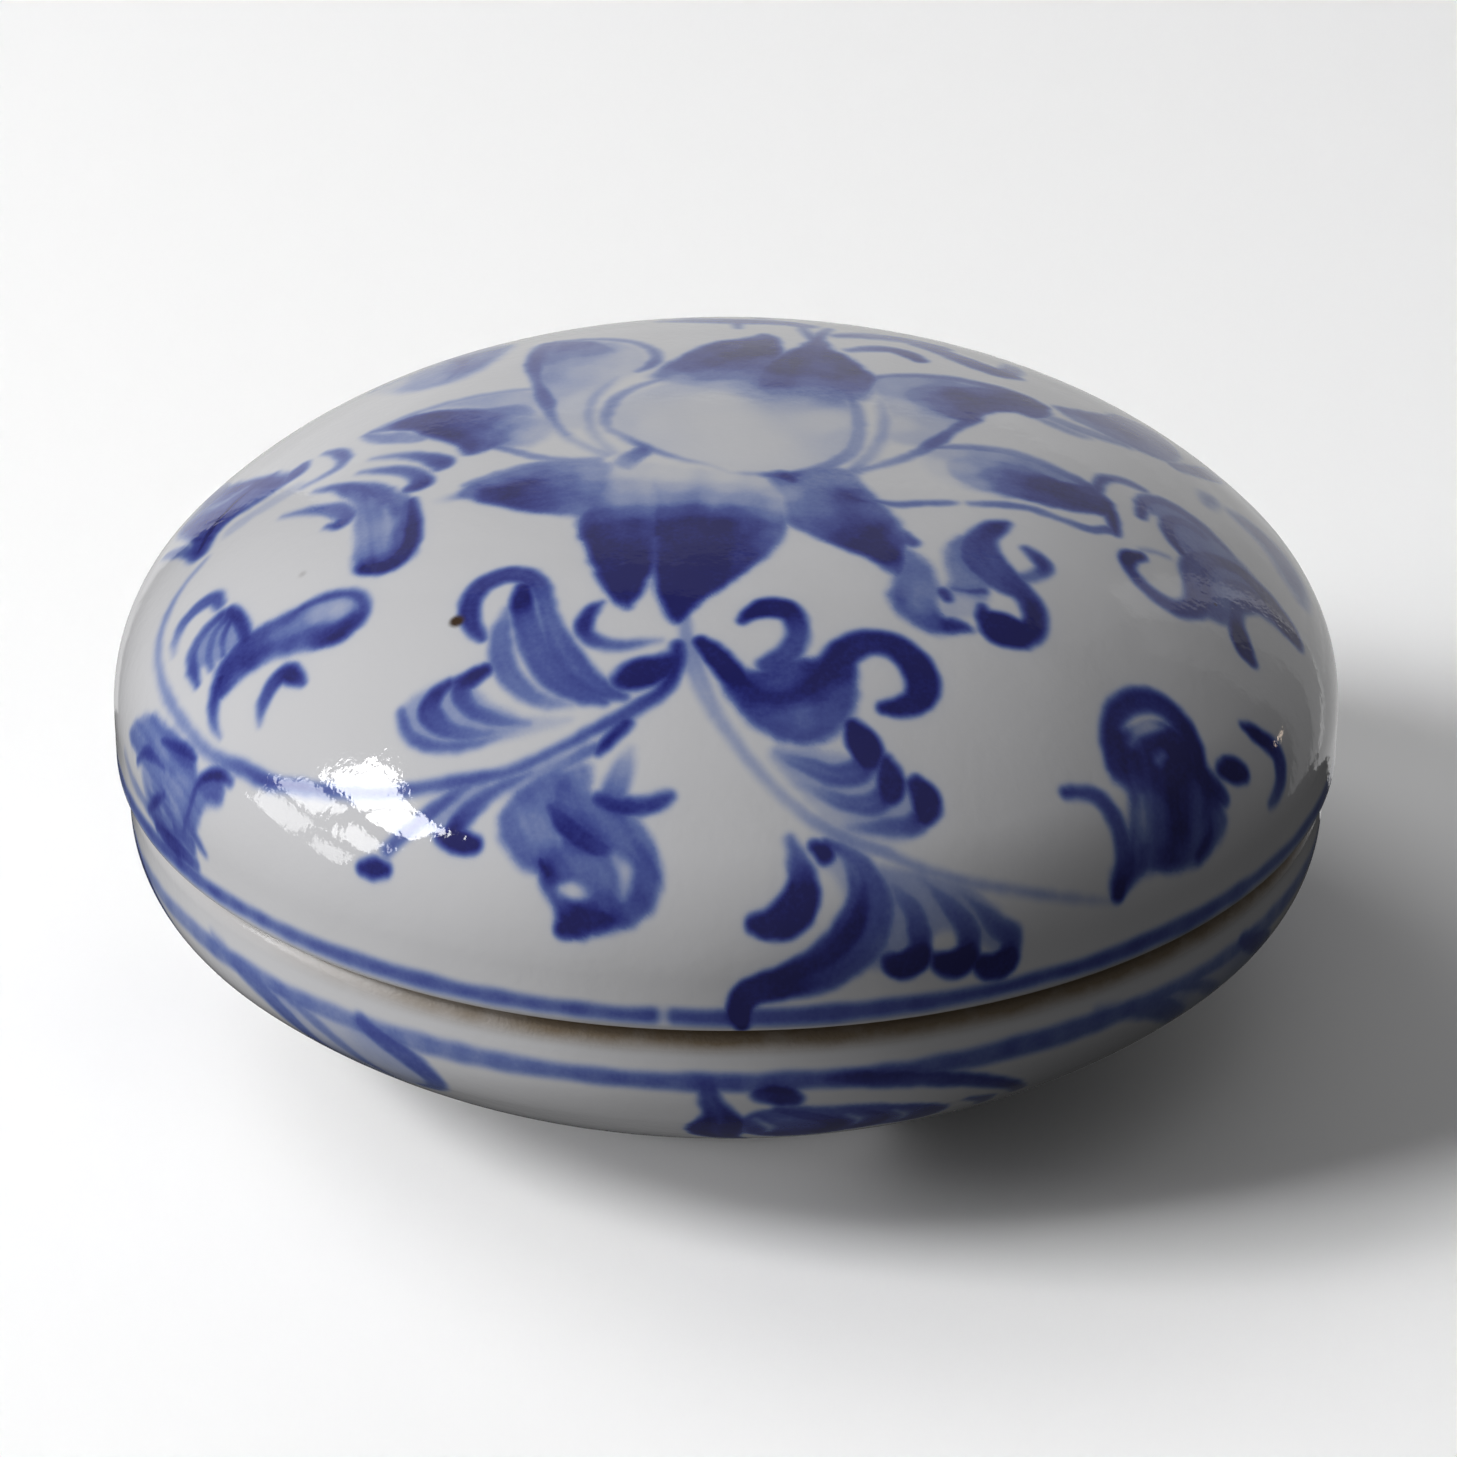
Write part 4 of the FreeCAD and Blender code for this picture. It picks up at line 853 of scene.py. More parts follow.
# The base's painting -------------------------------------------------------------------------------
def wall_frond(m):
    """Dark frond that hangs from the line, under the front of the lid."""
    m.stroke((-1.4, 6, 1.6, 0.6), (-1.2, 7.6, 1.8, 0.62), (-0.6, 9.2, 2.4, 0.76), (-0.4, 11, 3.8, 0.9),
             (-0.8, 13, 4.8, 0.95), (-0.8, 15, 4.2, 0.93), (0, 17.2, 2.4, 0.88), (1.2, 18.6, 1.2, 0.8))
    m.stroke((2.6, 7, 1.6, 0.84), (4, 7.2, 2.2, 0.92), (5.2, 7.8, 1.5, 0.86))
    m.wash([(1.4, 9.8), (4.4, 8.6), (8, 8.8), (12, 9.4), (15.6, 10.4), (18.2, 12.2), (18.6, 14.6),
            (17, 16.4), (14, 16.2), (11.4, 16.6), (8.4, 18), (5, 17.8), (2.4, 16), (1.2, 13)],
           (2.6, 11, 0.7), (4.6, 10, 0.56), (7, 10.4, 0.6), (5.4, 12.6, 0.78), (8.8, 12.6, 0.84),
           (8, 15.4, 0.93), (5, 16, 0.9), (11.4, 11, 0.6), (12, 13.4, 0.84), (11.6, 15.6, 0.9),
           (15, 12, 0.74), (17.4, 13, 0.9), (16.6, 15.4, 0.9), (14, 14.4, 0.6), (2.6, 14.4, 0.8), edge=0.6,
           brush=55)
    m.stroke((4, 9, 1.2, 0.6), (6.4, 10.2, 2, 0.72), (8.6, 12, 2.2, 0.86), (9.2, 14.4, 2.4, 0.93),
             (8, 16.6, 2, 0.93))
    m.stroke((10.8, 10.2, 1.2, 0.6), (12.6, 12, 1.8, 0.8), (12.8, 14.2, 2, 0.9), (11.8, 15.8, 1.4, 0.88))
    m.lift((2.4, 10.4, 0.5, 0.3), (3.4, 12.4, 0.8, 0.2), (3.6, 14.4, 0.6, 0.3))
    m.lift((9.6, 10.6, 0.4, 0.3), (10.8, 12.2, 0.7, 0.24), (10.8, 14, 0.5, 0.4))
    m.lift((13.4, 10.8, 0.4, 0.3), (14.8, 12.8, 0.8, 0.2), (15, 14.6, 0.5, 0.34))
    m.stroke((7.6, 5.9, 1, 0.7), (10.8, 6.2, 1.7, 0.74), (14.4, 6.8, 1.7, 0.68), (18.2, 7.8, 1.6, 0.7),
             (21.4, 9.2, 1.4, 0.76), (23.8, 11, 1.4, 0.8), (25.2, 13, 1.2, 0.74))
    m.stroke((20, 11.4, 0.9, 0.5), (22, 13, 1.6, 0.64), (22.6, 14.8, 1.2, 0.64))


def wall_leaf(m):
    """Paler leaf between two fronds."""
    m.wash([(-41, 6.6), (-36, 6), (-30, 6), (-25, 8), (-23.4, 10.4), (-25.4, 13.2), (-29.6, 14.6),
            (-34.4, 14), (-37.4, 11)],
           (-39, 8, 0.24), (-34, 8, 0.16), (-28, 8, 0.26), (-34, 12, 0.26), (-28, 11.4, 0.22), edge=0.8)
    m.stroke((-47, 4.8, 0.9, 0.3), (-43, 6.2, 1.7, 0.46), (-39.2, 7.8, 2.3, 0.52), (-36.6, 10.2, 2.2, 0.5),
             (-34.8, 13, 1.3, 0.42), edge=0.6)
    m.stroke((-37.6, 6.2, 1.3, 0.4), (-34.2, 7.8, 1.6, 0.42), (-31.6, 10, 1.8, 0.44),
             (-30, 12.6, 1.5, 0.42), (-29.8, 14.4, 0.9, 0.34), edge=0.6)
    m.stroke((-29.6, 5.6, 1.6, 0.6), (-27.4, 6.8, 2.1, 0.66), (-25, 8.2, 2.5, 0.66), (-23.9, 10, 2.3, 0.6),
             (-24.7, 12, 1.8, 0.52), (-26.6, 13.2, 1.1, 0.42), edge=0.5)


BASE_MAP_DEPTH = 26
FROND_LOAD = 0.9             # factors for the tones of the fronds and of the leaves
LEAF_LOAD = 0.74
BACK_LEAF_SHIFT = 4          # mm short of the back, where the two ends of the map meet
BACK_FROND_SHIFT = 3         # mm past it


def paint_base(radius):
    half_way = math.pi * radius
    m = PaintMap((-half_way, 0), (half_way, BASE_MAP_DEPTH), seed=5)
    fronds_and_leaves = []
    for shift in (-half_way / 2, 0, half_way / 2):
        fronds_and_leaves += [(wall_frond, FROND_LOAD, shift), (wall_leaf, LEAF_LOAD, shift)]
    fronds_and_leaves += [(wall_leaf, LEAF_LOAD, half_way - BACK_LEAF_SHIFT),
                          (wall_frond, FROND_LOAD, BACK_FROND_SHIFT - half_way)]
    for part, load, shift in fronds_and_leaves:
        m.place(shift=shift, fade=load)
        part(m)
    m.fire()
    return m


# Shapes --------------------------------------------------------------------------------------------
# Radii of the profile in mm and turns of its arcs in degrees, as the CAD model has them. Heights are
# measured from the joint between the lid and the base, whose place comes from the frame.
WALL = 3.6
FLOOR = 3.4
LID_BAND = 4.5               # height of the lid's upright wall
SHOULDER_RADIUS = 13
SHOULDER_TURN = 43.5
HAUNCH_RADIUS = 41.25
HAUNCH_TURN = 37.5
LID_EDGE_ROUND = 0.8
RIM_INNER_ROUND = 0.5
BASE_INSET = 0.9             # how far the base's wall stands in from the lid's
BASE_RIM_ROUND = 2.1
BASE_BAND = 4.2              # depth at which the base's upright wall ends
SIDE_RADIUS = 7.7
SIDE_TURN = 45
BELLY_RADIUS = 39
FLANGE_PLAY = 0.6
FLANGE_THICKNESS = 2.0
FLANGE_ROUND = 0.8
FOOT_RADIUS = 28
FOOT_WIDTH = 3
FOOT_RECESS = 1.6
FOOT_ROUND = 0.5

FINE = 0.21                  # mm between the points of a painted surface
COARSE = 0.9                 # the same for the plain glaze inside and under the box
FEWEST = 24                  # points round the smallest ring of a turned mesh


def arc(centre, radius, start, end, spacing=COARSE):
    """Points along an arc of the profile, without its last one. Angle 0 is outward and 90 degrees is up."""
    steps = max(3, round(math.radians(abs(end - start)) * radius / spacing))
    angle = np.radians(np.linspace(start, end, steps, endpoint=False))
    return np.column_stack([centre[0] + radius * np.cos(angle), centre[1] + radius * np.sin(angle)])


def run(start, end, spacing=COARSE):
    """Points along a straight part of the profile, without its last one."""
    steps = max(1, round(math.dist(start, end) / spacing))
    return np.linspace(start, end, steps, endpoint=False)


def lengths(profile):
    """How far along the profile each of its points lies."""
    return np.concatenate([[0], np.cumsum(np.hypot(*np.diff(profile, axis=0).T))])


def ring_counts(radii, spacings):
    """Points round each ring of a turned mesh: neighbours have as many, half as many or twice as many."""
    counts = [1 if r < 1e-6 else FEWEST * 2 ** max(0, math.ceil(math.log2(math.tau * r / spacing / FEWEST)))
              for r, spacing in zip(radii, spacings)]
    for order in (range(1, len(counts)), range(len(counts) - 2, -1, -1)):
        for i in order:
            beside = counts[i - 1] if order.step > 0 else counts[i + 1]
            if counts[i] > 1:
                counts[i] = max(counts[i], beside // 2)
    return counts


def ring_faces(first, many, second, more):
    """Faces between two rings, given by the index of their first point and their number of points."""
    i = np.arange(max(many, more))
    if many == more:
        j = (i + 1) % many
        return np.column_stack([first + i, second + i, second + j, first + j]).tolist()
    if many == 1:
        return np.column_stack([first + 0 * i, second + i, second + (i + 1) % more]).tolist()
    if more == 1:
        return np.column_stack([first + i, second + 0 * i, first + (i + 1) % many]).tolist()
    faces = []
    if more == 2 * many:
        i = np.arange(many)
        a, b = first + i, first + (i + 1) % many
        c, d, e = second + 2 * i, second + 2 * i + 1, second + (2 * i + 2) % more
        triangles = [(a, c, d), (a, d, b), (b, d, e)]
    else:
        i = np.arange(more)
        a, b = second + i, second + (i + 1) % more
        c, d, e = first + 2 * i, first + 2 * i + 1, first + (2 * i + 2) % many
        triangles = [(c, a, d), (d, a, b), (d, b, e)]
    for triangle in triangles:
        faces += np.column_stack(triangle).tolist()
    return faces


def turned(name, profile, spacings, joint_height):
    """Closed mesh turned round the axis. Also the angle and the profile row of each of its points.

    Angles are in radians, from the front towards +X."""
    counts = ring_counts(profile[:, 0], spacings)
    firsts = np.concatenate([[0], np.cumsum(counts)[:-1]])
    angle = np.concatenate([np.arange(n) / n * math.tau - math.pi for n in counts])
    row = np.repeat(np.arange(len(counts)), counts)
    r, z = profile[row, 0] * MM, profile[row, 1] * MM + joint_height
    points = np.column_stack([r * np.sin(angle), -r * np.cos(angle), z])
    faces = []
    for i in range(len(counts) - 1):
        faces += ring_faces(firsts[i], counts[i], firsts[i + 1], counts[i + 1])
    mesh = bpy.data.meshes.new(name)
    mesh.from_pydata(points.tolist(), [], faces)
    mesh.shade_smooth()
    piece = bpy.data.objects.new(name, mesh)
    bpy.context.scene.collection.objects.link(piece)
    return piece, angle, row


# What the glaze carries ----------------------------------------------------------------------------
LINE_EDGE = 0.58             # half the width over which a rim line fades into the glaze
LINE_SWAYS = 9               # waves that make up each unevenness of a line
LINE_FRONT = 0.15            # angle at which a line is darkest
LINE_FRONT_POWER = 8         # how quickly it pales to either side
LIFTED_TONE = 0.35           # share of its tone left where the brush was lifted
LIFTED_LENGTH = 1.1          # mm to either side of the gap over which the tone comes back
LID_LINE = dict(place=62.95, width=1.35, tone=0.63, side=0.87, gap=-0.093, seed=11)
BASE_LINE = dict(place=5.9, width=1.7, tone=0.6, side=0.6, gap=2.6, seed=12)

# Iron specks on the lid, on its map: x, y, radius and depth of colour.
LID_SPECKS = ((-20.9, -26.8, 0.6, 1), (-34, -15.3, 0.3, 0.25), (31, 24, 0.4, 0.6), (-14, 47, 0.5, 1))
SPECK_EDGE = 0.25            # half the width over which a speck fades

# Where the clay shows, and where shade is painted on the base's ledge under the lid's edge, in mm from the
# joint or from the foot's resting face.
LID_BARE = 0.15
# The ledge at the joint: bare clay, with shade painted down the rim where the lid's edge overhangs it,
# darkest a little right of the front.
LEDGE_BARE_AND_SHADE_END = 3.9         # down the glaze from the joint
LEDGE_BARE_AND_SHADE_FADE = 1.7
LEDGE_INNER_ROWS = 3         # rows of the profile that the ledge has inside the joint
LEDGE_FRONT = 0.42           # angle at which the ledge is barest and its painted shade darkest
LEDGE_BACK = 0.14            # how much bare clay and painted shade it has at the back
LEDGE_BACK_COSINE = 0.25     # cosine of the turn from its darkest place past which it is as at the back
LEDGE_COSINES = 0.6          # how much the cosine grows from there to where it is darkest
FOOT_BARE = 0.5
FOOT_BARE_FADE = 0.3


def note(piece, name, values):
    """Keeps one number for each of the mesh's points, for its material to read."""
    piece.data.attributes.new(name, "FLOAT", "POINT").data.foreach_set("value", values.astype(np.float32))


def note_cobalt(piece, tone, line, painted):
    """Keeps the cobalt's tone on the painted points, deeper where a line crosses the rest."""
    tone, line = tone * painted, line * painted
    note(piece, "cobalt", np.maximum(tone, line) + OVERLAP * np.minimum(tone, line))


def hand_line(down, angle, place, width, tone, side, gap, seed):
    """Tone of a line drawn by hand round the box, at points down its glaze and round its axis.

    place and width are in mm down the glaze, side is the share of its tone that is left away from the
    front, and gap is the angle at which the brush was lifted."""
    random = np.random.default_rng(seed)

    def sway(slowest, fastest):
        """Unevenness whose waves go from slowest to fastest times round the box."""
        pace = random.integers(slowest, fastest, LINE_SWAYS)
        start = random.random(LINE_SWAYS) * math.tau
        return np.sin(angle[:, None] * pace + start).mean(1) * 2

    middle = place + 0.07 * sway(2, 9) + 0.05 * sway(20, 60)
    half = width / 2 * (1 + 0.16 * sway(3, 14) + 0.08 * sway(30, 90))
    front = np.clip(np.cos(angle - LINE_FRONT), 0, 1) ** LINE_FRONT_POWER
    shade = tone * (side + (1 - side) * front + 0.12 * sway(3, 12) + 0.08 * sway(40, 120))
    lifted = ease(np.abs(angle - gap) * place / LIFTED_LENGTH)
    shade = shade * (LIFTED_TONE + (1 - LIFTED_TONE) * lifted)
    return shade * covered(half - np.abs(down - middle), LINE_EDGE)


def make_lid():
    low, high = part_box("lid")
    radius = (high[0] - low[0]) / 2 / MM
    shoulder = (radius - SHOULDER_RADIUS, LID_BAND)
    turn = math.radians(SHOULDER_TURN)
    step = HAUNCH_RADIUS - SHOULDER_RADIUS
    haunch = (shoulder[0] - step * math.cos(turn), shoulder[1] - step * math.sin(turn))
    crown_turn = SHOULDER_TURN + HAUNCH_TURN
    bend = math.radians(crown_turn)
    crown_radius = HAUNCH_RADIUS + haunch[0] / math.cos(bend)
    crown = (0, haunch[1] - haunch[0] * math.tan(bend))
    edge = (radius - LID_EDGE_ROUND, LID_EDGE_ROUND)
    inner = (radius - WALL + RIM_INNER_ROUND, RIM_INNER_ROUND)

    outside = np.vstack([
        arc(crown, crown_radius, 90, crown_turn, FINE),
        arc(haunch, HAUNCH_RADIUS, crown_turn, SHOULDER_TURN, FINE),
        arc(shoulder, SHOULDER_RADIUS, SHOULDER_TURN, 0, FINE),
        run((radius, LID_BAND), (radius, LID_EDGE_ROUND), FINE),
        arc(edge, LID_EDGE_ROUND, 0, -90, FINE)])
    inside = np.vstack([
        run((edge[0], 0), (inner[0], 0)),
        arc(inner, RIM_INNER_ROUND, -90, -180, FINE),
        run((radius - WALL, RIM_INNER_ROUND), (radius - WALL, LID_BAND)),
        arc(shoulder, SHOULDER_RADIUS - WALL, 0, SHOULDER_TURN),
        arc(haunch, HAUNCH_RADIUS - WALL, SHOULDER_TURN, crown_turn),
        arc(crown, crown_radius - WALL, crown_turn, 90),
        [(0, crown[1] + crown_radius - WALL)]])
    profile = np.vstack([outside, inside])
    spacings = np.repeat([FINE, COARSE], [len(outside), len(inside)])
    lid, angle, row = turned("painted_lid", profile, spacings, low[2])

    down = lengths(profile)[row]
    outer = row < len(outside)
    x, y = down * np.sin(angle), -down * np.cos(angle)
    note_cobalt(lid, paint_lid().read(x, y), hand_line(down, angle, **LID_LINE), outer)
    note(lid, "bare", ease((LID_BARE - profile[row, 1]) / LID_BARE))
    iron = np.zeros(len(row))
    for speck_x, speck_y, size, depth in LID_SPECKS:
        iron = np.maximum(iron, depth * covered(size - np.hypot(x - speck_x, y - speck_y), SPECK_EDGE))
    note(lid, "iron", iron * outer)
    return lid


def make_base():
    low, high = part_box("base")
    joint_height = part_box("lid")[0][2]
    radius = (high[0] - low[0]) / 2 / MM
    bottom = (low[2] - joint_height) / MM
    flange_top = (high[2] - joint_height) / MM
    rim = (radius - BASE_RIM_ROUND, -BASE_RIM_ROUND)
    side = (radius - SIDE_RADIUS, -BASE_BAND)
    step = BELLY_RADIUS - SIDE_RADIUS
    turn = math.radians(SIDE_TURN)
    belly = (side[0] - step * math.cos(turn), side[1] + step * math.sin(turn))

    foot = (FOOT_RADIUS - FOOT_ROUND, bottom + FOOT_ROUND)
    foot_hollow = FOOT_RADIUS - FOOT_WIDTH
    foot_inner = (foot_hollow + FOOT_ROUND, bottom + FOOT_ROUND)
    foot_turn = math.degrees(math.acos((FOOT_RADIUS - belly[0]) / BELLY_RADIUS))
    foot_top = belly[1] - BELLY_RADIUS * math.sin(math.radians(foot_turn))
    roof = bottom + FOOT_RECESS
    floor = roof + FLOOR

    flange_outer = radius + BASE_INSET - WALL - FLANGE_PLAY
    flange_inner = flange_outer - FLANGE_THICKNESS
    cap = flange_top - FLANGE_ROUND
    cap_inner, cap_outer = flange_inner + FLANGE_ROUND, flange_outer - FLANGE_ROUND
    bowl_radius = belly[1] - floor
    bowl_side = math.degrees(math.acos((flange_inner - belly[0]) / bowl_radius))
    bowl_top = belly[1] - bowl_radius * math.sin(math.radians(bowl_side))

    inside = np.vstack([
        run((0, floor), (belly[0], floor)),
        arc(belly, bowl_radius, -90, -bowl_side),
        run((flange_inner, bowl_top), (flange_inner, cap)),
        arc((cap_inner, cap), FLANGE_ROUND, 180, 90, FINE),
        run((cap_inner, flange_top), (cap_outer, flange_top)),
        arc((cap_outer, cap), FLANGE_ROUND, 90, 0, FINE),
        run((flange_outer, cap), (flange_outer, 0)),
        run((flange_outer, 0), (rim[0], 0))])
    outside = np.vstack([
        arc(rim, BASE_RIM_ROUND, 90, 0, FINE),
        run((radius, rim[1]), (radius, side[1]), FINE),
        arc(side, SIDE_RADIUS, 0, -SIDE_TURN, FINE),
        arc(belly, BELLY_RADIUS, -SIDE_TURN, -foot_turn, FINE)])
    under = np.vstack([
        run((FOOT_RADIUS, foot_top), (FOOT_RADIUS, foot[1])),
        arc(foot, FOOT_ROUND, 0, -90, FINE),
        run((foot[0], bottom), (foot_inner[0], bottom)),
        arc(foot_inner, FOOT_ROUND, -90, -180, FINE),
        run((foot_hollow, foot[1]), (foot_hollow, roof)),
        run((foot_hollow, roof), (0, roof)),
        [(0, roof)]])
    profile = np.vstack([inside, outside, under])
    spacings = np.repeat([COARSE, FINE, COARSE], [len(inside), len(outside), len(under)])
    base, angle, row = turned("painted_base", profile, spacings, joint_height)

    along = lengths(profile)
    down = (along - along[len(inside)])[row]
    outer = (row >= len(inside)) & (row < len(inside) + len(outside))
    painted = paint_base(radius).read(angle * radius, down)
    note_cobalt(base, painted, hand_line(down, angle, **BASE_LINE), outer)
    # the ledge: bare clay at the joint, and shade painted from the lid's overhang down the rim, darkest a
    # little right of the front
    front = ease((np.cos(angle - LEDGE_FRONT) - LEDGE_BACK_COSINE) / LEDGE_COSINES)
    ledge_bare_and_shade = (LEDGE_BACK + (1 - LEDGE_BACK) * front) * ease((LEDGE_BARE_AND_SHADE_END - down) / LEDGE_BARE_AND_SHADE_FADE)
    foot_face = ease((bottom + FOOT_BARE - profile[row, 1]) / FOOT_BARE_FADE)
    # the bare note holds bare clay, the ledge's painted shade and the foot's bare face
    note(base, "bare", np.maximum(ledge_bare_and_shade * (row >= len(inside) - LEDGE_INNER_ROWS), foot_face))
    note(base, "iron", np.zeros(len(row)))
    return base


# Materials -----------------------------------------------------------------------------------------
GLAZE_IOR = 1.5
BARE_ROUGHNESS = 0.62        # what bare clay adds to the glaze's roughness
# Colour of the glaze over the cobalt, from bare to darkest, as linear red, green and blue.
COBALT = ((0.0, (0.81, 0.81, 0.83)), (0.10, (0.65, 0.68, 0.79)), (0.25, (0.37, 0.44, 0.70)),
          (0.42, (0.165, 0.235, 0.56)), (0.58, (0.078, 0.117, 0.44)), (0.75, (0.032, 0.048, 0.325)),
          (0.88, (0.011, 0.017, 0.235)), (1.0, (0.0032, 0.0045, 0.15)))
GREY_COLOUR = (0.62, 0.60, 0.57, 1)
PINHOLE_COLOUR = (0.12, 0.09, 0.07, 1)
IRON_COLOUR = (0.075, 0.045, 0.028, 1)
# brown of bare clay, also used as painted shade on the base's ledge under the lid
BARE_CLAY_AND_SHADE_COLOUR = (0.31, 0.24, 0.165, 1)
FLOOR_COLOUR = (0.86, 0.86, 0.86, 1)
FLOOR_ROUGHNESS = 0.6
# Noise that makes a number uneven: its scale and detail, its span, and the least that it gives.
CLOUDS = (330, 3.0, 0.34, 0.83)    # for the cobalt, which gathers in small clouds as it melts
GRAIN = (2600, 2.0, 0.22, 0.89)    # for the cobalt, whose grain shows through the glaze
GLOSS = (140, 3.0, 0.05, 0.03)     # for the glaze's roughness
# Noise that mixes one colour into another: its scale and detail.
GREY = (55, 3.0)
GREY_SHARE = 0.1
# uneven patches of the bare clay and of the ledge's painted shade
BARE_AND_SHADE_PATCHES = (260, 4.0)
BARE_AND_SHADE_PATCH_ROUGHNESS = 0.6
BARE_AND_SHADE_PATCH_LEAST = 0.5
PINHOLE_CELLS = 230          # scale of the cells that may each hold a pinhole
PINHOLE_RADIUS = 0.045       # of its cell
PINHOLE_PLACES = (90, 0.0)   # noise, scale and detail
PINHOLE_PLACES_FROM = 0.66   # the noise above which cells have theirs
PINHOLE_SHARE = 0.6
# Relief of the glaze's skin, in long soft waves, orange peel and fine dimples: the scale and detail of
# each one's noise, its strength, and its depth in metres.
SKIN = ((95, 1.0, 0.28, 0.0006), (900, 2.0, 0.1, 0.0002), (2400, 1.0, 0.06, 0.0001))
# The same for the clay's tooth, which shows where the clay is bare.
TOOTH_STRENGTH = 0.35
TOOTH = (3200, 3.0, TOOTH_STRENGTH, 0.0002)


def node(tree, kind, values=None, **settings):
    """A new node, with values for its inputs and settings of its own."""
    new = tree.nodes.new(kind)
    for name, value in settings.items():
        setattr(new, name, value)
    for name, value in (values or {}).items():
        new.inputs[name].default_value = value
    return new


def maths(tree, operation, *values, clamp=False):
    """Output of a Math node over the values, each a number or another node's output."""
    new = node(tree, "ShaderNodeMath", operation=operation, use_clamp=clamp)
    for socket, value in zip(new.inputs, values):
        if isinstance(value, (int, float)):
            socket.default_value = value
        else:
            tree.links.new(value, socket)
    return new.outputs[0]


def blended(tree, amount, first, second):
    """Colour between two colours, each a value or another node's output."""
    new = node(tree, "ShaderNodeMix", data_type="RGBA")
    tree.links.new(amount, new.inputs["Factor"])
    for socket, value in ((new.inputs[6], first), (new.inputs[7], second)):
        if isinstance(value, tuple):
            socket.default_value = value
        else:
            tree.links.new(value, socket)
    return new.outputs[2]


def cobalt_ramp(tree, tone):
    ramp = node(tree, "ShaderNodeValToRGB")
    stops = ramp.color_ramp.elements
    stops[0].position, stops[1].position = COBALT[0][0], COBALT[-1][0]
    for position, _ in COBALT[1:-1]:
        stops.new(position)
    for stop, (_, colour) in zip(stops, COBALT):
        stop.color = (*colour, 1)
    tree.links.new(tone, ramp.inputs["Fac"])
    return ramp.outputs["Color"]


def glazed_porcelain(name):
    """Clear glaze over cobalt. The mesh's notes say where the cobalt, bare clay, painted shade on the
    base's ledge and iron specks are.
    """
    material = bpy.data.materials.new(name)
    material.use_nodes = True
    tree = material.node_tree
    link = tree.links.new
    shader = tree.nodes["Principled BSDF"]
    shader.inputs["IOR"].default_value = GLAZE_IOR
    place = node(tree, "ShaderNodeTexCoord").outputs["Object"]

    def field(scale, detail, roughness=0.5):
        new = node(tree, "ShaderNodeTexNoise", {"Scale": scale, "Detail": detail, "Roughness": roughness})
        link(place, new.inputs["Vector"])
        return new.outputs["Fac"]

    def uneven(scale, detail, span, least):
        return maths(tree, "MULTIPLY_ADD", field(scale, detail), span, least)

    def told(attribute):
        return node(tree, "ShaderNodeAttribute", attribute_name=attribute).outputs["Fac"]

    cobalt = maths(tree, "MULTIPLY", told("cobalt"), uneven(*CLOUDS))
    cobalt = maths(tree, "MULTIPLY", cobalt, uneven(*GRAIN), clamp=True)

    # the white is faintly uneven, with sparse dark pinholes
    grey = maths(tree, "MULTIPLY", field(*GREY), GREY_SHARE)
    clay = blended(tree, grey, cobalt_ramp(tree, cobalt), GREY_COLOUR)
    cells = node(tree, "ShaderNodeTexVoronoi", {"Scale": PINHOLE_CELLS})
    link(place, cells.inputs["Vector"])
    rare = maths(tree, "GREATER_THAN", field(*PINHOLE_PLACES), PINHOLE_PLACES_FROM)
    middle = maths(tree, "LESS_THAN", cells.outputs["Distance"], PINHOLE_RADIUS)
    pinhole = maths(tree, "MULTIPLY", middle, rare)
    clay = blended(tree, maths(tree, "MULTIPLY", pinhole, PINHOLE_SHARE), clay, PINHOLE_COLOUR)
    clay = blended(tree, told("iron"), clay, IRON_COLOUR)
    # bare clay, and on the base's ledge also painted shade, both drawn in the brown below
    bare = told("bare")
    patches = maths(tree, "ADD", field(*BARE_AND_SHADE_PATCHES, BARE_AND_SHADE_PATCH_ROUGHNESS), BARE_AND_SHADE_PATCH_LEAST)
    bare_and_shade_mix = maths(tree, "MULTIPLY", bare, patches, clamp=True)
    link(blended(tree, bare_and_shade_mix, clay, BARE_CLAY_AND_SHADE_COLOUR), shader.inputs["Base Color"])

    rough = maths(tree, "MULTIPLY_ADD", bare, BARE_ROUGHNESS, uneven(*GLOSS))
    link(rough, shader.inputs["Roughness"])

    normal = None
    for scale, detail, strength, depth in (*SKIN, TOOTH):
        bump = node(tree, "ShaderNodeBump", {"Strength": strength, "Distance": depth})
        link(field(scale, detail), bump.inputs["Height"])
        if normal is not None:
            link(normal, bump.inputs["Normal"])
        normal = bump.outputs["Normal"]
    link(maths(tree, "MULTIPLY", bare, TOOTH_STRENGTH), bump.inputs["Strength"])
    link(normal, shader.inputs["Normal"])
    return material


def pale_floor():
    material = bpy.data.materials.new("pale_floor")
    material.use_nodes = True
    shader = material.node_tree.nodes["Principled BSDF"]
    shader.inputs["Base Color"].default_value = FLOOR_COLOUR
    shader.inputs["Roughness"].default_value = FLOOR_ROUGHNESS
    return material


# Room: camera, floor and light ---------------------------------------------------------------------
# Places are given by a turn in degrees from the front towards +X, a rise in degrees above the horizon,
# and a distance from the middle of the joint. Sizes and distances are in metres.
CAMERA_AWAY = 0.45
CAMERA_RISE = 27.1
LENS = 134.8                 # focal length in mm
SENSOR = 36                  # mm
CAMERA_SHIFT = 0.0017
FLOOR_HALF = 4

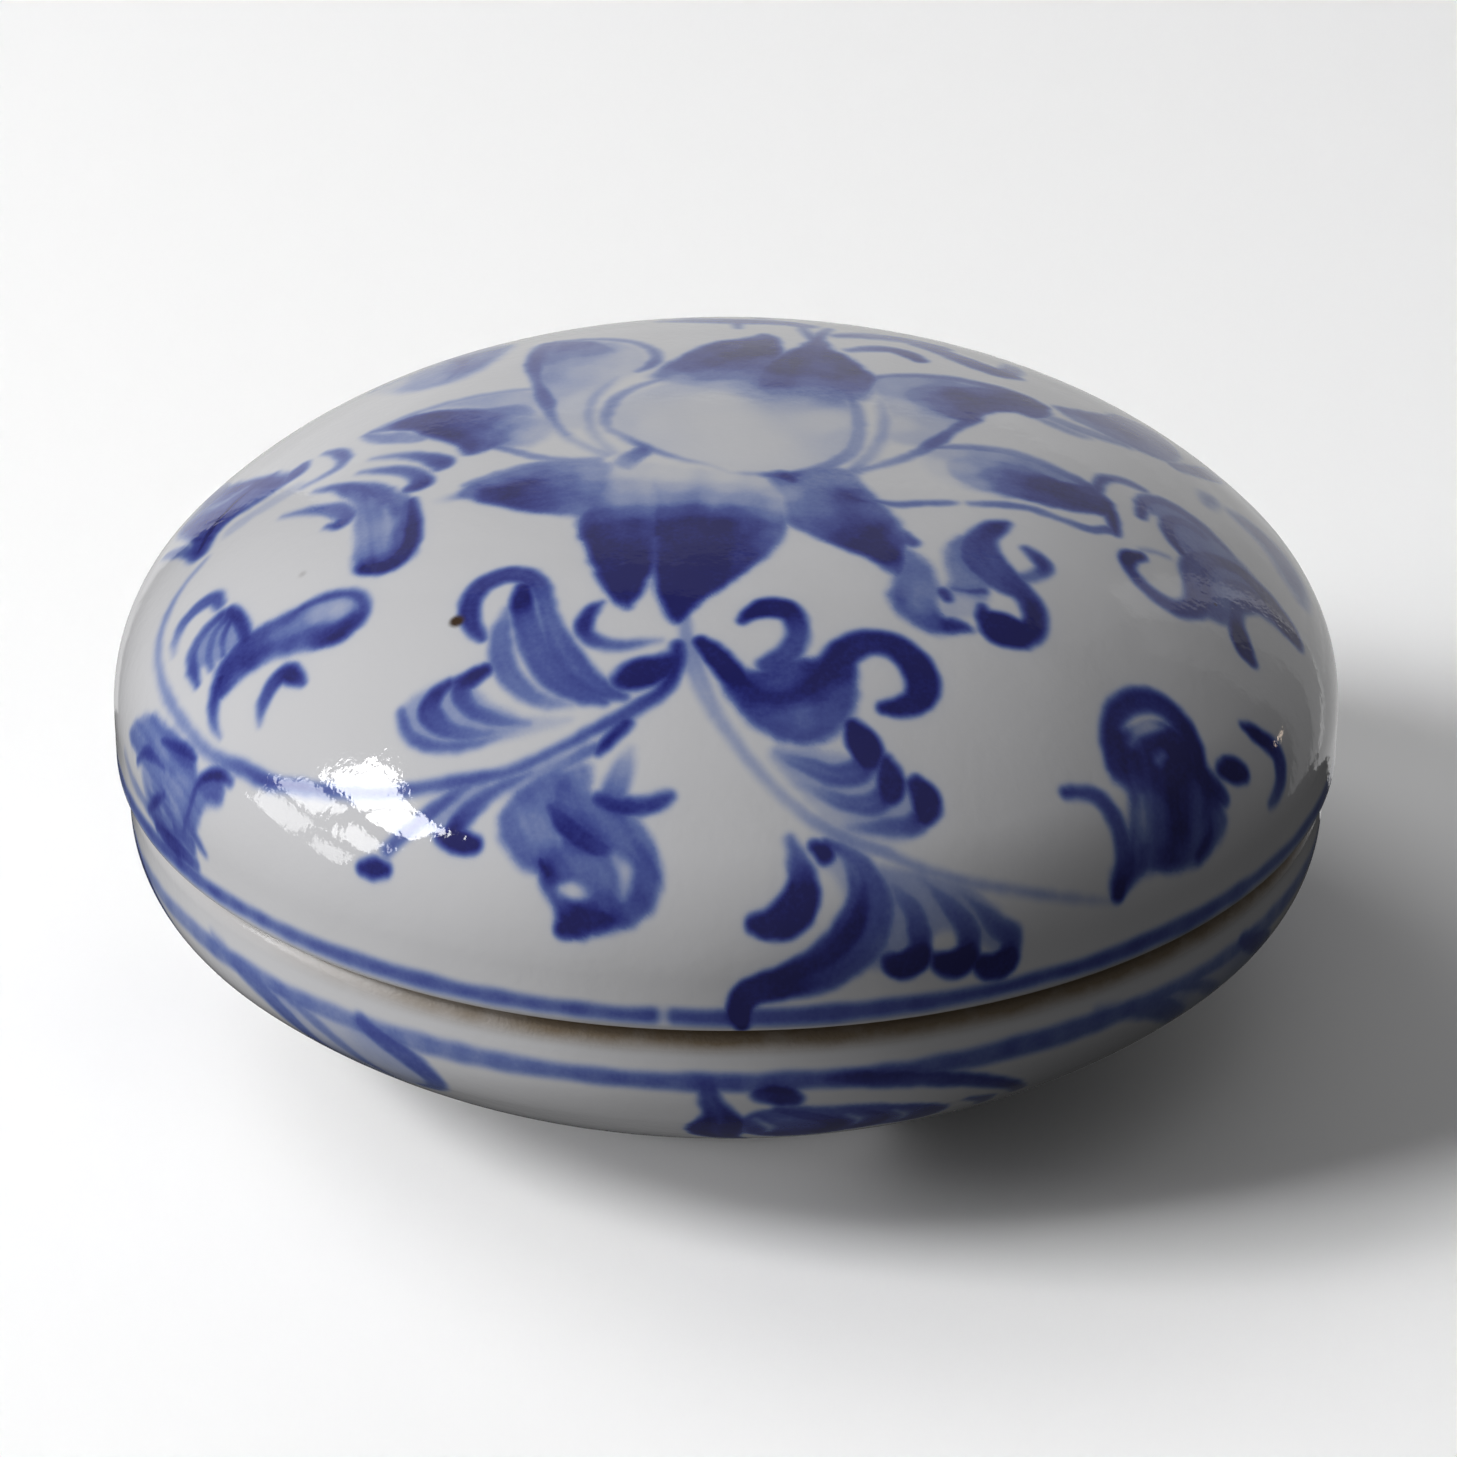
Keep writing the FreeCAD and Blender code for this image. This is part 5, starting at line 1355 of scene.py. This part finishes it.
# Panes of the tall window on the left: turn, rise, width, height and brightness.
WINDOW_PANES = {
    "left_low": (-87, 13.5, 0.28, 0.24, 5),
    "left_middle": (-86.5, 26.5, 0.26, 0.22, 8),
    "left_high": (-83, 40.5, 0.26, 0.26, 17),
    "right_low": (-73.4, 8.5, 0.2, 0.18, 5),
    "right_middle": (-70.3, 20.6, 0.25, 0.2, 8),
    "right_high": (-68, 37.3, 0.25, 0.29, 17)}
WINDOW_AWAY = 1.3
WINDOW_LEAN = 13
LAMP_TURN = 118
LAMP_AWAY = 1.4
LAMP_WIDTH = 0.11
LAMP_HEIGHT = 0.035
LAMP_BRIGHTNESS = 4
LAMP_COLOUR = (1, 0.78, 0.6)
WALL_AWAY = 1.6
WALL_TURN = 172
# Strips of the paler wall behind: rise and brightness. The glaze mirrors no floor, so the wall goes on
# below it.
WALL_STRIPS = ((-22, 0.5), (-10, 0.55), (2, 0.6), (14, 0.58), (26, 0.4), (38, 0.26), (50, 0.15))
WALL_WIDTH = 2.0
STRIP_HEIGHT = 0.34
# The wall's near end, in upright strips: turn and brightness.
WALL_ENDS = ((136, 0.4), (127, 0.22))
WALL_END_RISE = 8
WALL_END_WIDTH = 0.25
WALL_END_HEIGHT = 1.8
# Dim light that the glaze doesn't mirror: turn, rise and brightness.
SOFT_LIGHTS = {"ceiling": (0, 84, 0.22), "front": (22, 58, 0.29)}
SOFT_AWAY = 1.6
SOFT_SIZE = 1.6
BOUNCE_TURN = -62
BOUNCE_AWAY = 0.11
BOUNCE_SIZE = 0.22
BOUNCE_HEIGHT = 0.002
BOUNCE_BRIGHTNESS = 0.27
FLOOR_LIGHT_TURN = -125
FLOOR_LIGHT_RISE = 48
FLOOR_LIGHT_AWAY = 3
FLOOR_LIGHT_BRIGHTNESS = 3.4
WORLD_COLOUR = (0.97, 0.98, 1, 1)
WORLD_STRENGTH = 0.03


def aimed(thing, place, target):
    thing.location = place
    thing.rotation_euler = (Vector(target) - Vector(place)).to_track_quat("-Z", "Y").to_euler()
    bpy.context.scene.collection.objects.link(thing)
    return thing


def towards(turn, rise):
    """Direction at that turn and that rise, both in degrees."""
    turn, rise = math.radians(turn), math.radians(rise)
    return Vector((math.sin(turn) * math.cos(rise), -math.cos(turn) * math.cos(rise), math.sin(rise)))


def make_camera(target):
    lens = bpy.data.cameras.new("camera")
    lens.lens, lens.sensor_width = LENS, SENSOR
    lens.clip_start, lens.clip_end = 0.01, 20
    lens.shift_x = CAMERA_SHIFT
    camera = bpy.data.objects.new("camera", lens)
    aimed(camera, target + CAMERA_AWAY * towards(0, CAMERA_RISE), target)
    bpy.context.scene.camera = camera


def make_floor():
    corners = [(x * FLOOR_HALF, y * FLOOR_HALF, 0) for x, y in ((-1, -1), (1, -1), (1, 1), (-1, 1))]
    mesh = bpy.data.meshes.new("floor")
    mesh.from_pydata(corners, [], [(0, 1, 2, 3)])
    floor = bpy.data.objects.new("floor", mesh)
    bpy.context.scene.collection.objects.link(floor)
    mesh.materials.append(pale_floor())
    floor.visible_diffuse = False
    floor.visible_glossy = False
    return floor


def panel(name, target, turn, rise, away, width, height, radiance, lean=0):
    """Flat soft light that faces the target. radiance is its brightness as the glaze mirrors it.

    lean tips its top sideways, in degrees."""
    light = bpy.data.lights.new(name, "AREA")
    light.shape = "RECTANGLE"
    light.size, light.size_y = width, height
    light.energy = radiance * math.pi * width * height
    thing = bpy.data.objects.new(name, light)
    aimed(thing, target + towards(turn, rise) * away, target)
    thing.rotation_euler.rotate_axis("Z", -math.radians(lean))
    return thing


def light_object(target):
    """A tall paned window on the left, a paler wall behind, and dim light from above."""
    for name, (turn, rise, width, height, radiance) in WINDOW_PANES.items():
        panel(f"window_{name}", target, turn, rise, WINDOW_AWAY, width, height, radiance, lean=WINDOW_LEAN)
    lamp = panel("lamp", target, LAMP_TURN, 0, LAMP_AWAY, LAMP_WIDTH, LAMP_HEIGHT, LAMP_BRIGHTNESS)
    lamp.data.color = LAMP_COLOUR
    for rise, radiance in WALL_STRIPS:
        panel(f"wall_behind_{rise}", target, WALL_TURN, rise, WALL_AWAY, WALL_WIDTH, STRIP_HEIGHT, radiance)
    for turn, radiance in WALL_ENDS:
        panel(f"wall_end_{turn}", target, turn, WALL_END_RISE, WALL_AWAY, WALL_END_WIDTH, WALL_END_HEIGHT,
              radiance)
    for name, (turn, rise, radiance) in SOFT_LIGHTS.items():
        soft = panel(name, target, turn, rise, SOFT_AWAY, SOFT_SIZE, SOFT_SIZE, radiance)
        soft.visible_glossy = False


def light_floor(target, floor):
    """A light for the floor alone, and what the floor throws back up on the window's side."""
    bounce = panel("bounce", target, BOUNCE_TURN, 0, BOUNCE_AWAY, BOUNCE_SIZE, BOUNCE_SIZE,
                   BOUNCE_BRIGHTNESS)
    bounce.location.z = BOUNCE_HEIGHT
    bounce.rotation_euler = (math.pi, 0, 0)
    bounce.visible_camera = False
    bounce.visible_glossy = False
    floor_light = panel("floor_light", target, FLOOR_LIGHT_TURN, FLOOR_LIGHT_RISE, FLOOR_LIGHT_AWAY,
                        SOFT_SIZE, SOFT_SIZE, FLOOR_LIGHT_BRIGHTNESS)
    floor_only = bpy.data.collections.new("floor_only")
    floor_only.objects.link(floor)
    floor_light.light_linking.receiver_collection = floor_only


def make_world():
    world = bpy.data.worlds.new("room")
    bpy.context.scene.world = world
    world.use_nodes = True
    background = world.node_tree.nodes["Background"]
    background.inputs["Color"].default_value = WORLD_COLOUR
    background.inputs["Strength"].default_value = WORLD_STRENGTH
    bpy.context.scene.view_settings.view_transform = "Standard"


def main():
    joint = Vector((0, 0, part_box("lid")[0][2]))
    make_camera(joint)
    floor = make_floor()
    light_object(joint)
    light_floor(joint, floor)
    make_world()
    for node_name, make in (("lid", make_lid), ("base", make_base)):
        piece = make()
        piece.data.materials.append(glazed_porcelain(f"{node_name}_glaze"))
        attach(piece, node_name)
        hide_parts(node_name)


main()
